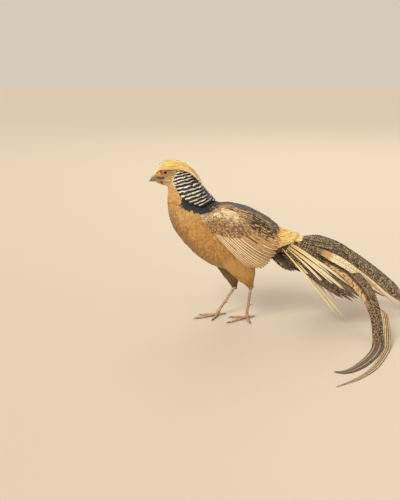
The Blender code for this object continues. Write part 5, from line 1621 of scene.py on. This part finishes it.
# The legs: pale pinkish horn-coloured shanks and toes with overlapping plates down the front, small
# scales behind, a short spur, and toes that end in curved claws.
FOOT = {"left": (0.0327, -0.0100, 0.0110), "right": (-0.0305, 0.0100, 0.0115)}
TOES = {
    "left": {"inner": (-0.0095, -0.0064), "middle": (-0.0153, -0.0440), "outer": (0.0395, -0.0470),
             "hind": (0.0530, 0.0000)},
    "right": {"inner": (-0.0470, -0.0290), "middle": (-0.0885, -0.0170), "outer": (-0.0780, 0.0060),
              "hind": (-0.0120, 0.0170)},
}
CLAW_LENGTH = {"inner": 0.009, "middle": 0.010, "outer": 0.009, "hind": 0.007}
SHANK_RADIUS = 0.0031
SHANK_SCUTES = 22
SPUR_SHARE = 0.68
SPUR_PATH = ((0.0, 0.0, 0.0), (0.0045, 0.0010, 0.0006), (0.0100, 0.0010, 0.0022))
SPUR_RADII = (0.0017, 0.0013, 0.0003)
PALM_RADII = (0.0039, 0.0046, 0.0044, 0.0034)
TOE_RADIUS = 0.0027
TOE_HEIGHTS = (0.0040, 0.0022)
CLAW_RADIUS = 0.0017
LEG_AROUND = 24
PLATE_HEIGHT = 0.0005
PLATE_LENGTH = 0.0034
PAD_LENGTH = 0.014
CLAW_SINK = 0.0012
CLAW_ARCH = 0.0009
CLAW_DROP = 0.0014
SPUR_RINGS = 12
SPUR_AROUND = 12
PALM_RINGS = 13
CLAW_RINGS = 14
CLAW_AROUND = 14


def limb(path, radii, first=None, last=None, floor=None, around=LEG_AROUND):
    """Rings round a path, with the ends square to the ways given and nothing below the floor."""
    path = np.array(path, float)
    ways = unit(np.gradient(path, axis=0))
    if first is not None:
        ways[0] = unit(np.array(first, float))
    if last is not None:
        ways[-1] = unit(np.array(last, float))
    sides = unit(np.cross(ways, (1.0, 0.001, 0.3)))
    fronts = np.cross(sides, ways)
    angles = np.radians(once_round(around))[:, None]
    radii = np.array(radii, float)
    if radii.ndim == 1:
        radii = np.repeat(radii[:, None], around, axis=1)
    radii = radii[..., None]
    rings = (path[:, None] + radii * np.cos(angles) * sides[:, None]
             + radii * np.sin(angles) * fronts[:, None])
    if floor is not None:
        rings[..., 2] = np.maximum(rings[..., 2], floor)
    return rings + SHIFT


def plated(shares, number, radii, height):
    """Radii of a limb with plates on its front, each rising to an edge over the next."""
    front = np.clip(0.35 + 1.1 * np.sin(np.radians(once_round(LEG_AROUND))), 0, 1)
    saw = (shares * number) % 1.0
    edge = saw * (saw < 0.86)
    return radii[:, None] + height * edge[:, None] * front[None, :]


def merge(parts):
    """One bmesh that holds several."""
    whole = bmesh.new()
    for part in parts:
        mesh = bpy.data.meshes.new("part")
        part.to_mesh(mesh)
        part.free()
        whole.from_mesh(mesh)
        bpy.data.meshes.remove(mesh)
    return whole


def scaled_skin():
    """Small scales in a net of darker lines, over two pale horn tones."""
    skin = Finish("leg_scales", roughness=0.5)
    where = skin.place()
    scales = skin.node("ShaderNodeTexVoronoi", {"feature": "DISTANCE_TO_EDGE"},
                       {"Vector": where, "Scale": 750.0}, "Distance")
    tone = skin.noise(where, 160.0, 3.0)
    ground = skin.mix(skin.ramp(tone, 0.35, 0.65), (0.840, 0.730, 0.590), (0.680, 0.560, 0.440))
    skin.paint(skin.mix(skin.ramp(scales, 0.0, 0.10), (0.540, 0.430, 0.340), ground))
    skin.bump(skin.ramp(scales, 0.0, 0.25) + tone * 0.3, 0.0003, 0.5)
    return skin


def claw_horn():
    """Brown horn with a fine grain."""
    horn = Finish("claw_horn", roughness=0.35, coat=0.2)
    grain = horn.noise(horn.place(), 700.0, 3.0)
    horn.paint(horn.mix(grain, (0.38, 0.31, 0.25), (0.22, 0.17, 0.14)))
    horn.bump(grain, 0.0002, 0.4)
    return horn


def shank(hock, foot):
    """The plated shank, thicker at hock and foot, and its spur."""
    way = unit(foot - hock)
    share = np.linspace(0, 1, SHANK_SCUTES * 6 + 1)
    top = hock - way * 0.002
    path = top + (foot + way * 0.001 - top) * share[:, None]
    knob = 0.45 * np.exp(-(share / 0.09) ** 2) + 0.25 * np.exp(-((1 - share) / 0.08) ** 2)
    radii = plated(share, SHANK_SCUTES, SHANK_RADIUS * (1 + knob), PLATE_HEIGHT)
    places = np.linspace(0, 2, SPUR_RINGS)
    spur = hock + (foot - hock) * SPUR_SHARE + between(SPUR_PATH, places)
    spur_radii = np.interp(places, (0, 1, 2), SPUR_RADII)
    return [mesh_of_rings(limb(path, radii, way, way)),
            mesh_of_rings(limb(spur, spur_radii, around=SPUR_AROUND))]


def toe_and_claw(sole, x, y, claw_length):
    """One plated toe with pads under it, flat on the floor, and the claw that it ends in."""
    reach = np.array([x - sole[0], y - sole[1], 0.0])
    length = np.linalg.norm(reach)
    way = reach / length
    meaty = length - claw_length
    start = np.array([sole[0], sole[1], TOE_HEIGHTS[0]])
    plates = max(5, round(meaty / PLATE_LENGTH))
    share = np.linspace(0, 1, plates * 5 + 1)
    path = start + way * (meaty * share)[:, None]
    path[:, 2] = np.interp(share, (0, 1), TOE_HEIGHTS)
    pads = 1 + 0.07 * np.sin(share * math.pi * 2 * max(2, round(meaty / PAD_LENGTH)))
    radii = plated(share, plates, TOE_RADIUS * (1 - 0.28 * share) * pads, 0.7 * PLATE_HEIGHT)
    toe = mesh_of_rings(limb(path, radii, last=way, floor=0.0))
    share = np.linspace(0, 1, CLAW_RINGS)
    path = start + way * (meaty - CLAW_SINK + (claw_length + CLAW_SINK) * share)[:, None]
    path[:, 2] = TOE_HEIGHTS[1] + CLAW_ARCH * np.sin(share * math.pi) - CLAW_DROP * share ** 2
    radii = CLAW_RADIUS * (1.05 - 0.93 * share)
    return toe, mesh_of_rings(limb(path, radii, floor=0.0, around=CLAW_AROUND))


def make_legs():
    skin, horn = scaled_skin(), claw_horn()
    for side in ("left", "right"):
        hock, foot = np.array(HOCK[side]), np.array(FOOT[side])
        way = unit(foot - hock)
        low = foot + way * 0.0035
        sole = np.array((low[0], low[1], 0.0))
        palm = np.array([foot, low, (*sole[:2], 0.0030), sole])
        places = np.linspace(0, 3, PALM_RINGS)
        palm_radii = np.interp(places, (0, 1, 2, 3), PALM_RADII)
        parts = shank(hock, foot)
        parts.append(mesh_of_rings(limb(between(palm, places), palm_radii, way, (0, 0, -1), 0.0)))
        claws = []
        for toe, (x, y) in TOES[side].items():
            flesh, claw = toe_and_claw(sole, x, y, CLAW_LENGTH[toe])
            parts.append(flesh)
            claws.append(claw)
        show("leg_" + side, merge(parts), skin, "leg_skin", "shank_" + side, "foot_" + side)
        names = ["claw_%s_%s" % (toe, side) for toe in TOES[side]]
        show("claws_" + side, merge(claws), horn, "claw", *names)


make_legs()

# The set: a plain pale floor, broad soft lights and the camera at the photograph's place.
CAMERA_PLACE = (-0.0732, -1.709, 0.662)
CAMERA_TILT = 73.6
CAMERA_LENS = 57.6
CAMERA_SENSOR = 36.0
FLOOR_HALF = 6.0
FLOOR_COLOUR = (0.84, 0.785, 0.71)
ROOM_COLOUR = (0.89, 0.85, 0.79)
ROOM_STRENGTH = 0.86
# Each lamp: its place, its width, its power and its colour. The one without a width is a soft sun.
LAMPS = (
    ("key_light", (-1.5, -1.7, 2.3), 0.0, 2.0, (1.0, 0.955, 0.88)),
    ("fill_light", (1.9, -1.5, 1.5), 2.0, 5.0, (1.0, 0.97, 0.93)),
    ("back_light", (0.3, 2.2, 1.9), 2.0, 16.0, (1.0, 0.98, 0.95)),
)
LAMP_AIM = (0.0, 0.0, 0.15)
SUN_SOFTNESS = 26.0


def make_floor():
    bm = bmesh.new()
    bmesh.ops.create_grid(bm, x_segments=1, y_segments=1, size=FLOOR_HALF)
    mesh = bpy.data.meshes.new("floor")
    bm.to_mesh(mesh)
    bm.free()
    finish = Finish("floor_plain", roughness=0.55)
    finish.paint(FLOOR_COLOUR)
    mesh.materials.append(finish.material)
    floor = bpy.data.objects.new("floor", mesh)
    bpy.context.scene.collection.objects.link(floor)


def make_lights():
    for name, place, size, power, tint in LAMPS:
        light = bpy.data.lights.new(name, "AREA" if size else "SUN")
        if size:
            light.size = size
        else:
            light.angle = math.radians(SUN_SOFTNESS)
        light.energy = power
        light.color = tint
        lamp = bpy.data.objects.new(name, light)
        lamp.location = place
        way = np.array(LAMP_AIM) - np.array(place)
        lamp.rotation_euler = (math.atan2(math.hypot(way[0], way[1]), -way[2]), 0.0,
                               math.atan2(way[1], way[0]) - math.pi / 2)
        bpy.context.scene.collection.objects.link(lamp)
    world = bpy.data.worlds.new("soft_room")
    world.use_nodes = True
    background = world.node_tree.nodes["Background"]
    background.inputs["Color"].default_value = (*linear(ROOM_COLOUR), 1.0)
    background.inputs["Strength"].default_value = ROOM_STRENGTH
    bpy.context.scene.world = world
    bpy.context.scene.view_settings.view_transform = "Standard"


def make_camera():
    camera = bpy.data.objects.new("camera", bpy.data.cameras.new("camera"))
    camera.data.lens = CAMERA_LENS
    camera.data.sensor_width = CAMERA_SENSOR
    camera.location = np.array(CAMERA_PLACE) + SHIFT
    camera.rotation_euler = (math.radians(CAMERA_TILT), 0.0, 0.0)
    bpy.context.scene.collection.objects.link(camera)
    bpy.context.scene.camera = camera


make_floor()
make_lights()
make_camera()
